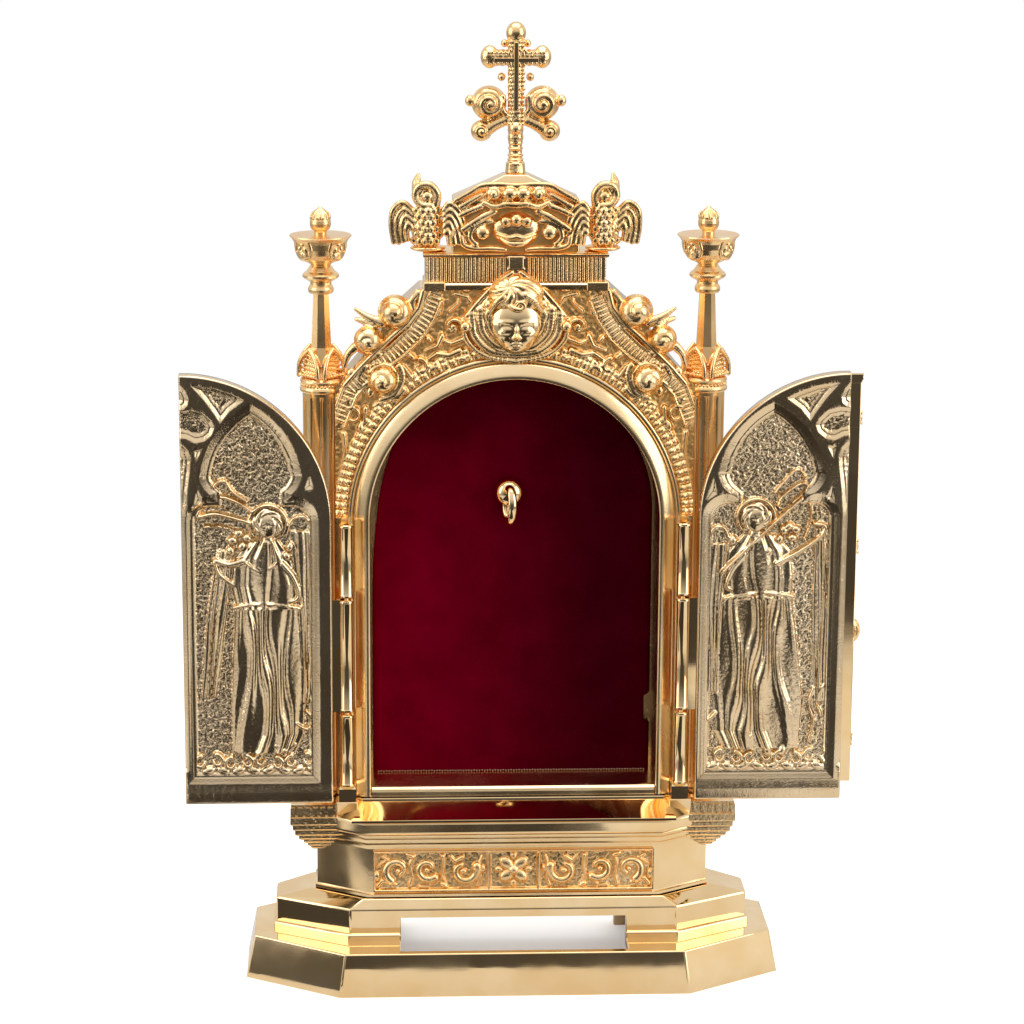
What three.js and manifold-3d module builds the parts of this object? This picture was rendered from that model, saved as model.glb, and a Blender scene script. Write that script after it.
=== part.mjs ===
// A small altar-shaped reliquary of cast, gold-plated brass: a polished octagonal foot with a window,
// a carved predella and cornice, an arched niche lined with velvet behind two angel doors,
// a gable with a cherub's head, two columns with pinnacles and a budded cross.
// Millimetres. X to the right, Y to the back, Z up, with the reliquary's middle plane at x = 0.
import * as THREE from 'three';
import { mergeVertices } from 'three/addons/utils/BufferGeometryUtils.js';
import Module from 'manifold-3d';

const wasm = await Module();
wasm.setup();

// ---------- driving sizes ----------
const HEIGHT = 250;
const GAP = 0.3;

// Foot: octagons are [half width of the front face, front, half width over all, start of the side]
const PLINTH = { foot: [45.7, 27.5, 70.3, 11.8], deck: [44.2, 26.1, 68.1, 10.7], height: 11.4, wall: 2.2 };
const STEP = { plan: [42.9, 16.2, 62.4, 5.4], moulding: 0.7, mouldingTop: 13.2, top: 20, wall: 2.4 };
const STEP_ROOF = { plan: [39.2, 14.9, 53.2, 6.2], top: 22.6 };
const WINDOW = { half: 29.6, top: 17.7, bar: PLINTH.wall };

// Predella: block, cornice and the side wings under the columns
const BLOCK = { plan: [38, 14, 51.5, 5.5], bottom: STEP_ROOF.top + GAP, top: 36.2 };
const PREDELLA_HOLLOW = { half: 34.5, depth: 10.8, top: 41 };
const CORNICE_TOP = 44.2;
const CORNICE = [
  { z: BLOCK.top, out: 0.4 }, { z: 36.9, out: 0.9 }, { z: 38.2, out: 1.1 }, { z: 38.5, out: 0.7 },
  { z: 38.8, out: 1.5 }, { z: 40.9, out: 2.2 }, { z: 41.2, out: 2.9 }, { z: 43.7, out: 3 },
  { z: CORNICE_TOP, out: 2.4 },
];
const BLOCK_FILLET = { out: 0.5, top: BLOCK.bottom + 0.9 };
const SCROLLS = {
  half: 36.8, bottom: 24.6, top: 35.4, middle: 6.2, post: 0.8, z: 29.6, first: 12.4, pitch: 9.8,
  ring: 3.1, width: 1.6, ground: 0.7, rise: 1.2, eye: 1.3, eyeRise: 0.5, columns: 42, rows: 6,
};
const WING = {
  half: 58.4, front: 12.2, inner: 38, innerLow: 42, bottom: 33.7, courses: 4, halfLow: 52.2, frontLow: 8.2,
};
const HINGE_BLOCK = { near: 40.8, far: 46.5, back: 8.4, lowFront: 12, highFront: 14.2 };
const SILL = { top: 49, half: 41.4, front: 12.2, lip: 16.6, depth: 12 };

// Front: the niche frame
const FRAME = { bottom: SILL.top + GAP, spring: 123, face: -8, back: 4.7, half: 46 };
const NICHE = { half: 37, floor: 53.4 };
const RING = { outer: 41, inner: 36.7, crest: -11, bevel: 1.2 };
const RIBS = { inner: 41.6, outer: 45, count: 18, width: 2.7, crest: -9.4 };
const BACK = { front: 5, thickness: 1.4 };
const VELVET = {
  front: 1.9, thickness: 2.5, half: NICHE.half - 0.4, notch: { z: 69, height: 8.5, depth: 1.6 },
};

// Gable, frieze and crown above the arch
const FRIEZE = { half: 22.9, bottom: 183, top: 192.4, front: -9.2, back: 4.4, flute: 1.7 };
const CROWN = { half: 15.2, eaves: 205.6, apex: 211.6, ridge: 2.6, front: -7.4, back: 3.4, edge: 0.8 };
const SWEEP = { start: 158, pull: [35.5, 169.5], end: [24.2, 183.4], steps: 5 };
const BAND = { lowX: 41.5, highX: 22, lowZ: 151.5, highZ: 182, curve: 1.6, lean: 0.35, turn: 0.75, count: 5 };
const CROCKETS = [
  { x: 30.4, z: 177.4, radius: 4.6 }, { x: 37.6, z: 170.6, radius: 3.7 }, { x: 34.3, z: 159.6, radius: 4.1 },
];
const CHERUB = { z: 174.4, front: -10 };

// Columns and pinnacles
const COLUMN = {
  x: 49.4, y: -2, radius: 4.9, flutes: 12, flute: 0.55, ringBottom: 155.8, bottom: CORNICE_TOP + GAP,
};
const COLUMN_BASE = { halfX: 5.6, halfY: 6, blockTop: 46.9, roll: 5.9, rollTop: 47.7, neck: 5, top: 49.1 };
const SPIRE_GABLE = { half: 3.4, shoulder: 3, shoulderZ: 163.4, bottom: 160, top: 167.6, reach: 4.9 };
const CUP_LEAF = { reach: 4.9, z: 193, radius: 2.4, height: 2.6 };
const CLEAR = { shaft: 5.4, ring: 6.1 };

// Doors, hinges and pins
const HINGE = {
  x: 43.4, y: -13.6, radius: 1.9, bottom: 53.4, top: 123.4, lowTop: 72.9, midBottom: 73.6, midTop: 103.5,
  highBottom: 104.2, sides: 12, hole: 0.95, pin: 0.6, leaf: 1.6, web: 1.3,
};
const HINGE_FOOT = { inside: 2.2, outside: 2.6, front: -14.2 };
const DOOR = {
  near: 47.1, far: 85.3, bottom: 49.4, spring: 124.4, front: -15.7, back: -11.5,
  columns: 14, rows: 23, archRows: 9, archEnd: 1.49,
};
const PANEL = {
  middle: 17.8, half: 17.1, bottom: 54.8, shoulder: 130.6, corner: 6.6, foil: 13.5, foilZ: 138, arc: 16.6,
  step: 0.35, slope: 1, edge: 2.1, ground: 1.15,
};
const ROBE = { left: 18.4, right: 23.2, flareLeft: 3.6, flareRight: 5.6, bottom: 59, top: 106, folds: 7 };
const RAIL = { top: 54.2, edge: 52.3, out: 0.7 };
const STRIP = {
  inside: 2.6, outside: 3.2, cap: 0.6, reach: 5, gap: 0.3, thickness: 1, bottom: 52.6, top: 161.6,
};
const BOSS = { z: 93.4, rx: 2.2, ry: 1.4, rz: 3.4 };

// Lumps of the castings: [x, y, z, half width, half depth, half height, turn, faces round, faces up].
// x is given for the right side, and from the figure's own middle for the seated figures.
const CHERUB_LUMPS = [
  [0, 1.6, 0.3, 14, 2.4, 9.2, 0, 12, 4], [0, -0.4, 0, 5.9, 3.4, 7.7, 0, 10, 7],
  [0, -0.1, 6.2, 6.8, 3.6, 4.6, 0, 8, 5], [0, -3.4, -1.2, 1.1, 1.3, 1.6, 0, 6, 4],
];
const CHERUB_WING = [[11, 0.4, -1.5, 6.4, 1.9, 3.1, 0.75, 7, 4]];
const CROWN_LUMPS = [
  [0, -0.2, 206.4, 7.4, 2.2, 2.8, 0, 8, 4], [0, -0.9, 200.6, 2.1, 2, 2.4, 0, 6, 4],
  [0, -0.3, 195.6, 5.2, 2, 1.7, 0, 8, 4],
];
const CROWN_LEAVES = [
  [5.6, 0.7, 200, 3.2, 2.3, 4.6, 0.5, 6, 4], [10.6, 1.2, 203.4, 5.4, 2, 1.9, 0.5, 6, 4],
  [9.6, 1.2, 196.4, 4.2, 2, 2.6, -0.4, 6, 4],
];
const FIGURE = { x: 21.6, y: -4 };
const FIGURE_LUMPS = [
  [0, 0, 197.4, 5.2, 4.6, 6.2, 0, 7, 5], [0, -0.8, 206.4, 3.4, 3.4, 3.8, 0, 6, 5],
  [2.2, -0.6, 209.4, 1.9, 1.9, 3.2, 0.5, 5, 4], [6.4, 1, 199.6, 2.8, 2.2, 6.2, 0.18, 6, 4],
  [-5.6, 0.4, 200, 2.8, 2.2, 6, -0.3, 6, 4],
];
const CROSS_LUMPS = [[0, 0, 247, 2.7, 2.4, 3, 0, 7, 6], [0, -0.4, 223.2, 2.1, 2.2, 2.2, 0, 6, 5]];
const CROSS_SCROLLS = [
  [6.2, 0, 241, 2.7, 2.2, 3.1, 0, 8, 5], [6.7, 0, 229.6, 4.4, 2.8, 4.4, 0, 8, 5],
  [11.4, 0, 230, 1.4, 1.4, 1.8, 0, 6, 4], [8.6, 0, 222.6, 2.9, 2.1, 2.7, 0, 6, 4],
  [4.2, 0, 225.2, 3.6, 1.8, 1.8, 0.7, 6, 4],
];

// Hook in the niche and cross on the roof
const HOOK = {
  x: -1, z: 128, dome: 3.9, domeDepth: 3.12, ring: 4.3, ringZ: 125.4, wire: 1.15, lean: 0.26, squash: 0.62,
};
const CROSS = {
  y: -2, foot: 211.9, neckTop: 221, arm: 241, top: HEIGHT, stem: 2.2, depth: 1.3, armHalf: 6,
  line: 0.6, lineFront: 2.2, lineHalf: 5.6, lineBottom: 228, lineTop: 245.4,
};

// ---------- materials ----------
function metal(color, roughness) {
  return new THREE.MeshStandardMaterial({ color, roughness, metalness: 1 });
}
const polished = metal(0xe0b878, 0.1);
const cast = metal(0xdcae62, 0.3);
const turned = metal(0xd9b47a, 0.18);
const velvet = new THREE.MeshStandardMaterial({ color: 0x5a0012, roughness: 0.95, metalness: 0 });

// ---------- solids ----------
function solid(geometry) {
  const bare = geometry.clone();
  bare.deleteAttribute('normal');
  bare.deleteAttribute('uv');
  const merged = mergeVertices(bare, 1e-4);
  return new wasm.Manifold(new wasm.Mesh({
    numProp: 3,
    vertProperties: new Float32Array(merged.attributes.position.array),
    triVerts: new Uint32Array(merged.index.array),
  }));
}

function geometryOf(body) {
  const mesh = body.getMesh();
  const geometry = new THREE.BufferGeometry();
  geometry.setAttribute('position', new THREE.BufferAttribute(new Float32Array(mesh.vertProperties), 3));
  geometry.setIndex(new THREE.BufferAttribute(new Uint32Array(mesh.triVerts), 1));
  geometry.computeVertexNormals();
  return geometry;
}

function joined(solids) {
  return solids.reduce((whole, next) => whole.add(next));
}

function meshOf(name, body, material) {
  const mesh = new THREE.Mesh(geometryOf(body), material);
  mesh.name = name;
  return mesh;
}

function box(x0, x1, y0, y1, z0, z1) {
  const geometry = new THREE.BoxGeometry(x1 - x0, y1 - y0, z1 - z0);
  geometry.translate((x0 + x1) / 2, (y0 + y1) / 2, (z0 + z1) / 2);
  return solid(geometry);
}

function ball(x, y, z, rx, ry = rx, rz = rx, turn = 0, around = 8, up = 5) {
  const geometry = new THREE.SphereGeometry(1, around, up);
  geometry.rotateX(Math.PI / 2);
  geometry.scale(rx, ry, rz);
  geometry.rotateY(turn);
  geometry.translate(x, y, z);
  return solid(geometry);
}

// A list of lumps placed about (x, y, z), mirrored to the given side
function lumps(list, x, y, z, side = 1) {
  return list.map(([dx, dy, dz, rx, ry, rz, turn, around, up]) =>
    ball(x + side * dx, y + dy, z + dz, rx, ry, rz, side * turn, around, up));
}

// A shape drawn in x and z, from yFront back to yBack, with an optional rounded front edge
function slab(shape, yFront, yBack, bevel = 0) {
  const geometry = new THREE.ExtrudeGeometry(shape, {
    depth: yBack - yFront - 2 * bevel, curveSegments: 12, bevelEnabled: bevel > 0,
    bevelThickness: bevel, bevelSize: bevel, bevelOffset: -bevel, bevelSegments: 1,
  });
  geometry.rotateX(Math.PI / 2);
  geometry.translate(0, yBack - bevel, 0);
  return solid(geometry);
}

// A round body turned about a vertical axis from [radius, z] points that start and end on the axis
function turnedBody(points, x, y, sides, twist = 0) {
  const geometry = new THREE.LatheGeometry(points.map(([r, z]) => new THREE.Vector2(r, z)), sides);
  geometry.rotateX(Math.PI / 2);
  geometry.rotateZ(twist);
  geometry.translate(x, y, 0);
  return solid(geometry);
}

function upright(x, y, radius, z0, z1, sides) {
  return turnedBody([[0, z0], [radius, z0], [radius, z1], [0, z1]], x, y, sides, Math.PI / sides);
}

// A closed body through stacked rings of equally many points, with the ends closed from their middles
function stacked(rings) {
  const count = rings[0].length;
  const points = rings.flat();
  const faces = [];
  for (let level = 0; level + 1 < rings.length; level += 1) {
    for (let i = 0; i < count; i += 1) {
      const a = level * count + i;
      const b = level * count + (i + 1) % count;
      faces.push(a, b, b + count, a, b + count, a + count);
    }
  }
  const last = (rings.length - 1) * count;
  points.push(middleOf(rings[0]), middleOf(rings[rings.length - 1]));
  for (let i = 0; i < count; i += 1) {
    const next = (i + 1) % count;
    faces.push(points.length - 2, next, i);
    faces.push(points.length - 1, last + i, last + next);
  }
  const geometry = new THREE.BufferGeometry();
  geometry.setAttribute('position', new THREE.BufferAttribute(new Float32Array(points.flat()), 3));
  geometry.setIndex(faces);
  return solid(geometry);
}

function middleOf(ring) {
  return [0, 1, 2].map((axis) => ring.reduce((sum, point) => sum + point[axis], 0) / ring.length);
}

function octagon([fx, fy, sx, sy], z, out = 0) {
  const side = out * 0.55;
  const plan = [
    [fx + side, -fy - out], [sx + out, -sy - side], [sx + out, sy + side], [fx + side, fy + out],
    [-fx - side, fy + out], [-sx - out, sy + side], [-sx - out, -sy - side], [-fx - side, -fy - out],
  ];
  return plan.map(([x, y]) => [x, y, z]);
}

function archShape(half, bottom, spring, steps = 18) {
  const shape = new THREE.Shape();
  shape.moveTo(-half, bottom);
  shape.lineTo(half, bottom);
  for (let i = 0; i <= steps; i += 1) {
    const angle = Math.PI * i / steps;
    shape.lineTo(half * Math.cos(angle), spring + half * Math.sin(angle));
  }
  return shape;
}

// A slab whose front (towards -Y) is a relief: a net of columns on every level,
// sunk or raised by height(x, z)
function relief(levels, columns, edges, front, back, height) {
  const width = columns + 1;
  const points = [];
  const faces = [];
  levels.forEach((z) => {
    const [x0, x1] = edges(z);
    for (let i = 0; i <= columns; i += 1) {
      const x = x0 + (x1 - x0) * i / columns;
      points.push([x, front - height(x, z), z]);
    }
  });
  for (let j = 0; j + 1 < levels.length; j += 1) {
    for (let i = 0; i < columns; i += 1) {
      const a = j * width + i;
      faces.push(a, a + 1, a + width + 1, a, a + width + 1, a + width);
    }
  }
  const rim = [];
  const top = (levels.length - 1) * width;
  for (let i = 0; i < columns; i += 1) rim.push(i);
  for (let j = 0; j + 1 < levels.length; j += 1) rim.push(j * width + columns);
  for (let i = columns; i > 0; i -= 1) rim.push(top + i);
  for (let j = levels.length - 1; j > 0; j -= 1) rim.push(j * width);
  const first = points.length;
  rim.forEach((index) => points.push([points[index][0], back, points[index][2]]));
  points.push(middleOf(points.slice(first)));
  rim.forEach((index, k) => {
    const next = (k + 1) % rim.length;
    faces.push(index, first + k, first + next, index, first + next, rim[next]);
    faces.push(points.length - 1, first + next, first + k);
  });
  const geometry = new THREE.BufferGeometry();
  geometry.setAttribute('position', new THREE.BufferAttribute(new Float32Array(points.flat()), 3));
  geometry.setIndex(faces);
  return solid(geometry);
}

function spread(from, to, count) {
  return Array.from({ length: count + 1 }, (_, i) => from + (to - from) * i / count);
}

function bothSides(make) {
  return [-1, 1].flatMap((side) => make(side));
}

// ---------- foot ----------
function foot() {
  const shell = stacked([
    octagon(PLINTH.foot, 0), octagon(PLINTH.deck, PLINTH.height),
    octagon(STEP.plan, PLINTH.height + 0.2, STEP.moulding),
    octagon(STEP.plan, STEP.mouldingTop, STEP.moulding),
    octagon(STEP.plan, STEP.mouldingTop + 0.3), octagon(STEP.plan, STEP.top),
    octagon(STEP_ROOF.plan, STEP_ROOF.top),
  ]);
  const lowHollow = stacked([
    octagon(PLINTH.deck, -1, -PLINTH.wall), octagon(PLINTH.deck, PLINTH.height - PLINTH.wall, -PLINTH.wall),
  ]);
  const highHollow = stacked([
    octagon(STEP.plan, 0, -STEP.wall), octagon(STEP.plan, STEP.top - STEP.wall, -STEP.wall),
  ]);
  const barBack = -PLINTH.deck[1] + WINDOW.bar;
  const through = box(-WINDOW.half, WINDOW.half, barBack, PLINTH.foot[1] + 1, -1, WINDOW.top);
  return meshOf('foot', shell.subtract(lowHollow).subtract(highHollow).subtract(through), polished);
}

// ---------- predella ----------
// Scrolling leaves: each one a ring that opens into a tail, raised from a sunk ground
function scrollHeight(x, z) {
  const { half, bottom, top, middle, post, first, pitch, ring, width, ground, rise, eye, eyeRise } = SCROLLS;
  if (Math.abs(x) > half || z < bottom || z > top) return 0;
  const across = Math.abs(x);
  if (across < middle) {
    const bloom = Math.hypot(across, z - (bottom + top) / 2);
    return rise * Math.max(0, Math.cos(bloom * rise)) - ground;
  }
  if (across < middle + post) return 0;
  const local = (across - first) % pitch;
  const centre = local > pitch / 2 ? local - pitch : local;
  const away = Math.hypot(centre, z - SCROLLS.z);
  const curl = rise * Math.max(0, 1 - Math.abs(away - ring) / width);
  return curl + eyeRise * Math.max(0, 1 - away / eye) - ground;
}

function wing(side) {
  const courses = [];
  for (let i = 0; i < WING.courses; i += 1) {
    const share = (i / (WING.courses - 1)) ** 1.3;
    const half = WING.half + (WING.halfLow - WING.half) * share;
    const front = WING.front + (WING.frontLow - WING.front) * share;
    const step = (CORNICE_TOP - WING.bottom) / WING.courses;
    const top = CORNICE_TOP - i * step;
    const inner = WING.inner + (WING.innerLow - WING.inner) * share;
    const x = [side * inner, side * half].sort((a, b) => a - b);
    courses.push(box(x[0], x[1], -front, front, top - step * 0.8, top));
    courses.push(box(x[0], x[1], -front + 0.5, front - 0.5, top - step - 0.2, top - step * 0.7));
  }
  return courses;
}

function sill() {
  const profile = new THREE.Shape();
  profile.moveTo(-SILL.lip, CORNICE_TOP - 0.2);
  profile.lineTo(SILL.depth, CORNICE_TOP - 0.2);
  profile.lineTo(SILL.depth, SILL.top);
  profile.lineTo(-SILL.front, SILL.top);
  for (let i = 0; i <= 6; i += 1) {
    const angle = Math.PI / 2 * i / 6;
    const y = -SILL.lip + (SILL.lip - SILL.front) * (1 - Math.sin(angle));
    profile.lineTo(y, SILL.top - 0.4 - (SILL.top - CORNICE_TOP - 0.6) * (1 - Math.cos(angle)));
  }
  const geometry = new THREE.ExtrudeGeometry(profile, { depth: 2 * SILL.half, bevelEnabled: false });
  geometry.rotateX(Math.PI / 2);
  geometry.rotateZ(Math.PI / 2);
  geometry.translate(-SILL.half, 0, 0);
  return solid(geometry);
}

function predella() {
  const block = stacked([
    octagon(BLOCK.plan, BLOCK.bottom, BLOCK_FILLET.out),
    octagon(BLOCK.plan, BLOCK_FILLET.top, BLOCK_FILLET.out),
    octagon(BLOCK.plan, BLOCK_FILLET.top + 0.2), octagon(BLOCK.plan, BLOCK.top),
    ...CORNICE.map(({ z, out }) => octagon(BLOCK.plan, z, out)),
  ]);
  const face = -BLOCK.plan[1];
  const sunk = box(-SCROLLS.half, SCROLLS.half, face - 1, face + 1, SCROLLS.bottom, SCROLLS.top);
  const levels = spread(SCROLLS.bottom, SCROLLS.top, SCROLLS.rows);
  const edges = () => [-SCROLLS.half, SCROLLS.half];
  const carving = relief(levels, SCROLLS.columns, edges, face, face + 1.6, scrollHeight);
  const parts = [block.subtract(sunk), carving, ...bothSides(wing), sill(), ...bothSides(hingeBlock)];
  const { half, depth, top } = PREDELLA_HOLLOW;
  const hollow = box(-half, half, -depth, depth, BLOCK.bottom - 1, top);
  return meshOf('predella', joined(parts).subtract(hollow), cast);
}

// Sloping block under each hinge, beside the sill and in front of the column
function hingeBlock(side) {
  const { near, far, back, lowFront, highFront } = HINGE_BLOCK;
  const x = [side * near, side * far].sort((a, b) => a - b);
  const level = (front, z) => [[x[0], -front, z], [x[1], -front, z], [x[1], -back, z], [x[0], -back, z]];
  return [stacked([level(lowFront, CORNICE_TOP - 0.2), level(highFront, SILL.top)])];
}

// ---------- niche frame ----------
function gableOutline() {
  const shape = new THREE.Shape();
  const { half, bottom, spring } = FRAME;
  const points = [[half, SWEEP.start], SWEEP.pull, SWEEP.end].map(([x, z]) => new THREE.Vector2(x, z));
  const sweep = new THREE.QuadraticBezierCurve(...points).getPoints(SWEEP.steps);
  shape.moveTo(-half, bottom);
  shape.lineTo(half, bottom);
  shape.lineTo(half, spring);
  sweep.forEach((point) => shape.lineTo(point.x, point.y));
  sweep.reverse().forEach((point) => shape.lineTo(-point.x, point.y));
  return shape;
}

function ringMoulding() {
  const outer = archShape(RING.outer, FRAME.bottom, FRAME.spring);
  outer.holes.push(archShape(RING.inner, NICHE.floor, FRAME.spring));
  return slab(outer, RING.crest, FRAME.face + 1.5, RING.bevel);
}

function archRibs() {
  const ribs = [];
  for (let i = 0; i < RIBS.count; i += 1) {
    const angle = Math.PI * (i + 0.5) / RIBS.count;
    const geometry = new THREE.BoxGeometry(RIBS.outer - RIBS.inner, FRAME.face + 1 - RIBS.crest, RIBS.width);
    geometry.translate((RIBS.outer + RIBS.inner) / 2, (RIBS.crest + FRAME.face + 1) / 2, 0);
    geometry.rotateY(-angle);
    geometry.translate(0, 0, FRAME.spring);
    ribs.push(solid(geometry));
  }
  return ribs;
}

function crocket(side, { x, z, radius }) {
  const leaf = radius * 0.75;
  return [
    ball(side * x, FRAME.face + 1.5, z, radius, 4.2, radius, 0, 7, 5),
    ball(side * (x + radius * 0.7), FRAME.face + 2, z + radius * 0.75, leaf, 2.4, leaf * 0.45,
      side * 0.6, 5, 4),
  ];
}

function sweepingBand(side) {
  const { lowX, highX, lowZ, highZ, curve, lean, turn, count } = BAND;
  return spread(0, 1, count - 1).map((t) => {
    const x = lowX + (highX - lowX) * t;
    const z = lowZ + (highZ - lowZ) * t ** curve;
    return ball(side * x, FRAME.face + 0.6, z, 5.2, 1.9, 1.8, side * (lean + turn * t), 6, 4);
  });
}

function cherub() {
  const { z, front } = CHERUB;
  return [...lumps(CHERUB_LUMPS, 0, front, z), ...bothSides((side) => lumps(CHERUB_WING, 0, front, z, side))];
}

function frieze() {
  const { half, bottom, top, front, back, flute } = FRIEZE;
  const body = [
    box(-half, half, front + 0.8, back, bottom, top),
    box(-half - 0.5, half + 0.5, front - 0.4, back, top - 1, top),
    box(-half - 0.4, half + 0.4, front - 0.2, back, bottom, bottom + 1.3),
    box(-1.9, 1.9, front - 0.9, back, top - 3.6, top - 0.4),
    box(-half - 0.9, -half + 4.6, front - 0.6, back, bottom - 0.2, bottom + 1.9),
    box(half - 4.6, half + 0.9, front - 0.6, back, bottom - 0.2, bottom + 1.9),
  ];
  const pitch = 2 * flute;
  for (let x = -half + flute; x < half - flute; x += pitch) {
    if (Math.abs(x) > 2.4) body.push(box(x - flute / 2, x + flute / 2, front, back, bottom + 1, top - 0.8));
  }
  return body;
}

function crown() {
  const { half, eaves, apex, ridge, front, back, edge } = CROWN;
  const bottom = FRIEZE.top - 0.2;
  const roofline = new THREE.Shape();
  roofline.moveTo(-half - 1, bottom);
  roofline.lineTo(half + 1, bottom);
  roofline.lineTo(half, eaves);
  roofline.lineTo(ridge, apex);
  roofline.lineTo(-ridge, apex);
  roofline.lineTo(-half, eaves);
  return [
    slab(roofline, front + edge, back, edge),
    ...lumps(CROWN_LUMPS, 0, front, 0),
    ...bothSides((side) => lumps(CROWN_LEAVES, 0, front, 0, side)),
  ];
}

// A small winged figure seated at each end of the frieze
function seatedFigure(side) {
  return lumps(FIGURE_LUMPS, side * FIGURE.x, FIGURE.y, 0, side);
}

function frameKnuckles(side) {
  const parts = [];
  const ranges = [[HINGE.bottom, HINGE.lowTop], [HINGE.highBottom, HINGE.top]];
  ranges.forEach(([z0, z1]) => {
    const x = side * HINGE.x;
    parts.push(upright(x, HINGE.y, HINGE.radius, z0, z1, HINGE.sides));
    parts.push(box(x - HINGE.web, x + HINGE.web, HINGE.y + 1, FRAME.face + 1, z0, z1));
  });
  return parts;
}

function hingeFoot(side) {
  const x = side * HINGE.x;
  const { inside, outside, front: near } = HINGE_FOOT;
  return [box(x - inside, x + outside, near, FRAME.face + 1, FRAME.bottom, HINGE.bottom - GAP)];
}

function front() {
  const plate = slab(gableOutline(), FRAME.face, FRAME.back);
  const raised = [
    ringMoulding(), ...archRibs(), ...cherub(), ...frieze(), ...crown(),
    ...bothSides((side) => CROCKETS.flatMap((place) => crocket(side, place))),
    ...bothSides(sweepingBand), ...bothSides(seatedFigure),
    ...bothSides(frameKnuckles), ...bothSides(hingeFoot),
  ];
  const opening = slab(archShape(NICHE.half, NICHE.floor, FRAME.spring), FRAME.face - 0.6, FRAME.back + 1);
  const mouth = slab(archShape(RING.inner, NICHE.floor, FRAME.spring), -20, FRAME.back + 1);
  const cuts = [
    opening, mouth,
    ...bothSides((side) => [
      upright(side * COLUMN.x, COLUMN.y, CLEAR.shaft, FRAME.bottom - 1, COLUMN.ringBottom + 0.2, 16),
      upright(side * COLUMN.x, COLUMN.y, CLEAR.ring, COLUMN.ringBottom - GAP, 172, 16),
      upright(side * HINGE.x, HINGE.y, HINGE.hole, HINGE.bottom - 0.2, HINGE.top + 1, HINGE.sides),
    ]),
  ];
  const body = cuts.reduce((whole, cut) => whole.subtract(cut), joined([plate, ...raised]));
  return meshOf('niche_front', body, cast);
}

function backPlate() {
  const shape = archShape(NICHE.half + 3.4, FRAME.bottom + 1, FRAME.spring);
  return meshOf('back_plate', slab(shape, BACK.front, BACK.front + BACK.thickness), turned);
}

function velvetBoard() {
  const outline = archShape(VELVET.half, NICHE.floor + 0.4, FRAME.spring);
  const board = slab(outline, VELVET.front, VELVET.front + VELVET.thickness);
  const { z, height, depth } = VELVET.notch;
  const notch = box(VELVET.half - depth, VELVET.half + 1, 0, 6, z - height / 2, z + height / 2);
  return meshOf('velvet_board', board.subtract(notch), velvet);
}

function relicHook() {
  const { x, z, dome, domeDepth, ring, ringZ, wire, lean, squash } = HOOK;
  const base = VELVET.front - GAP;
  const behind = box(x - dome - 1, x + dome + 1, base, base + dome, z - dome - 1, z + dome + 1);
  const half = ball(x, base, z, dome, domeDepth, dome, 0, 10, 6).subtract(behind);
  const loop = new THREE.TorusGeometry(ring, wire, 5, 12);
  loop.scale(1, squash, 1);
  loop.rotateY(Math.PI / 2);
  loop.rotateY(lean);
  loop.translate(x, base - domeDepth - 0.8, ringZ);
  return meshOf('relic_hook', half.add(solid(loop)), turned);
}

// ---------- columns ----------
function flutedRing(radius, z) {
  const count = COLUMN.flutes * 2;
  return Array.from({ length: count }, (_, i) => {
    const angle = 2 * Math.PI * i / count;
    const r = i % 2 ? radius : radius - COLUMN.flute;
    return [COLUMN.x + r * Math.cos(angle), COLUMN.y + r * Math.sin(angle), z];
  });
}

function diagonals() {
  return [0, 1, 2, 3].map((quarter) => Math.PI / 4 + quarter * Math.PI / 2);
}

function gables() {
  const { half, shoulder, shoulderZ, bottom, top, reach } = SPIRE_GABLE;
  const shape = new THREE.Shape();
  shape.moveTo(-half, bottom);
  shape.lineTo(half, bottom);
  shape.lineTo(shoulder, shoulderZ);
  shape.lineTo(0, top);
  shape.lineTo(-shoulder, shoulderZ);
  return diagonals().map((angle) => {
    const geometry = new THREE.ExtrudeGeometry(shape, { depth: reach, bevelEnabled: false });
    geometry.rotateX(Math.PI / 2);
    geometry.rotateZ(angle);
    geometry.translate(COLUMN.x, COLUMN.y, 0);
    return solid(geometry);
  });
}

function cupLeaves() {
  const { reach, z, radius, height } = CUP_LEAF;
  return diagonals().map((angle) => {
    const x = COLUMN.x + reach * Math.cos(angle);
    return ball(x, COLUMN.y + reach * Math.sin(angle), z, radius, radius, height, 0, 6, 4);
  });
}

// Ring, tapering spire, collars, leaf cup and bud, from the top of the shaft upwards
const SPIRE = [
  [0, 155.8], [5.1, 155.9], [5.6, 156.9], [5, 157.9], [5.5, 159], [4.4, 159.8], [4.4, 161], [2.75, 167.4],
  [2.1, 181.3], [3.1, 181.5], [3.2, 183], [2.7, 184.2], [4.7, 185.9], [3.2, 187.6], [2.4, 188.7],
  [5.4, 190.4], [6.9, 193], [6.4, 194.4], [8, 196.2], [1.7, 195.7], [1.6, 197], [2.3, 198.4],
  [2.4, 199.9], [1.3, 202.2], [0, 203.6],
];

function column() {
  const { x, y, bottom, radius, ringBottom } = COLUMN;
  const { halfX, halfY, blockTop, roll, rollTop, neck, top } = COLUMN_BASE;
  const base = [[0, blockTop - 0.4], [roll, blockTop - 0.4], [roll, rollTop], [neck, top], [0, top]];
  return joined([
    box(x - halfX, x + halfX, y - halfY, y + halfY, bottom, blockTop),
    turnedBody(base, x, y, 10),
    stacked([flutedRing(radius + 0.3, top - 0.6), flutedRing(radius, ringBottom + 0.4)]),
    turnedBody(SPIRE, x, y, 8, Math.PI / 8),
    ...gables(), ...cupLeaves(),
  ]);
}

function columns() {
  const body = column();
  return bothSides((side) => {
    const mesh = meshOf(side < 0 ? 'left_column' : 'right_column', body, turned);
    if (side < 0) mesh.position.x = -2 * COLUMN.x;
    return [mesh];
  });
}

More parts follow.
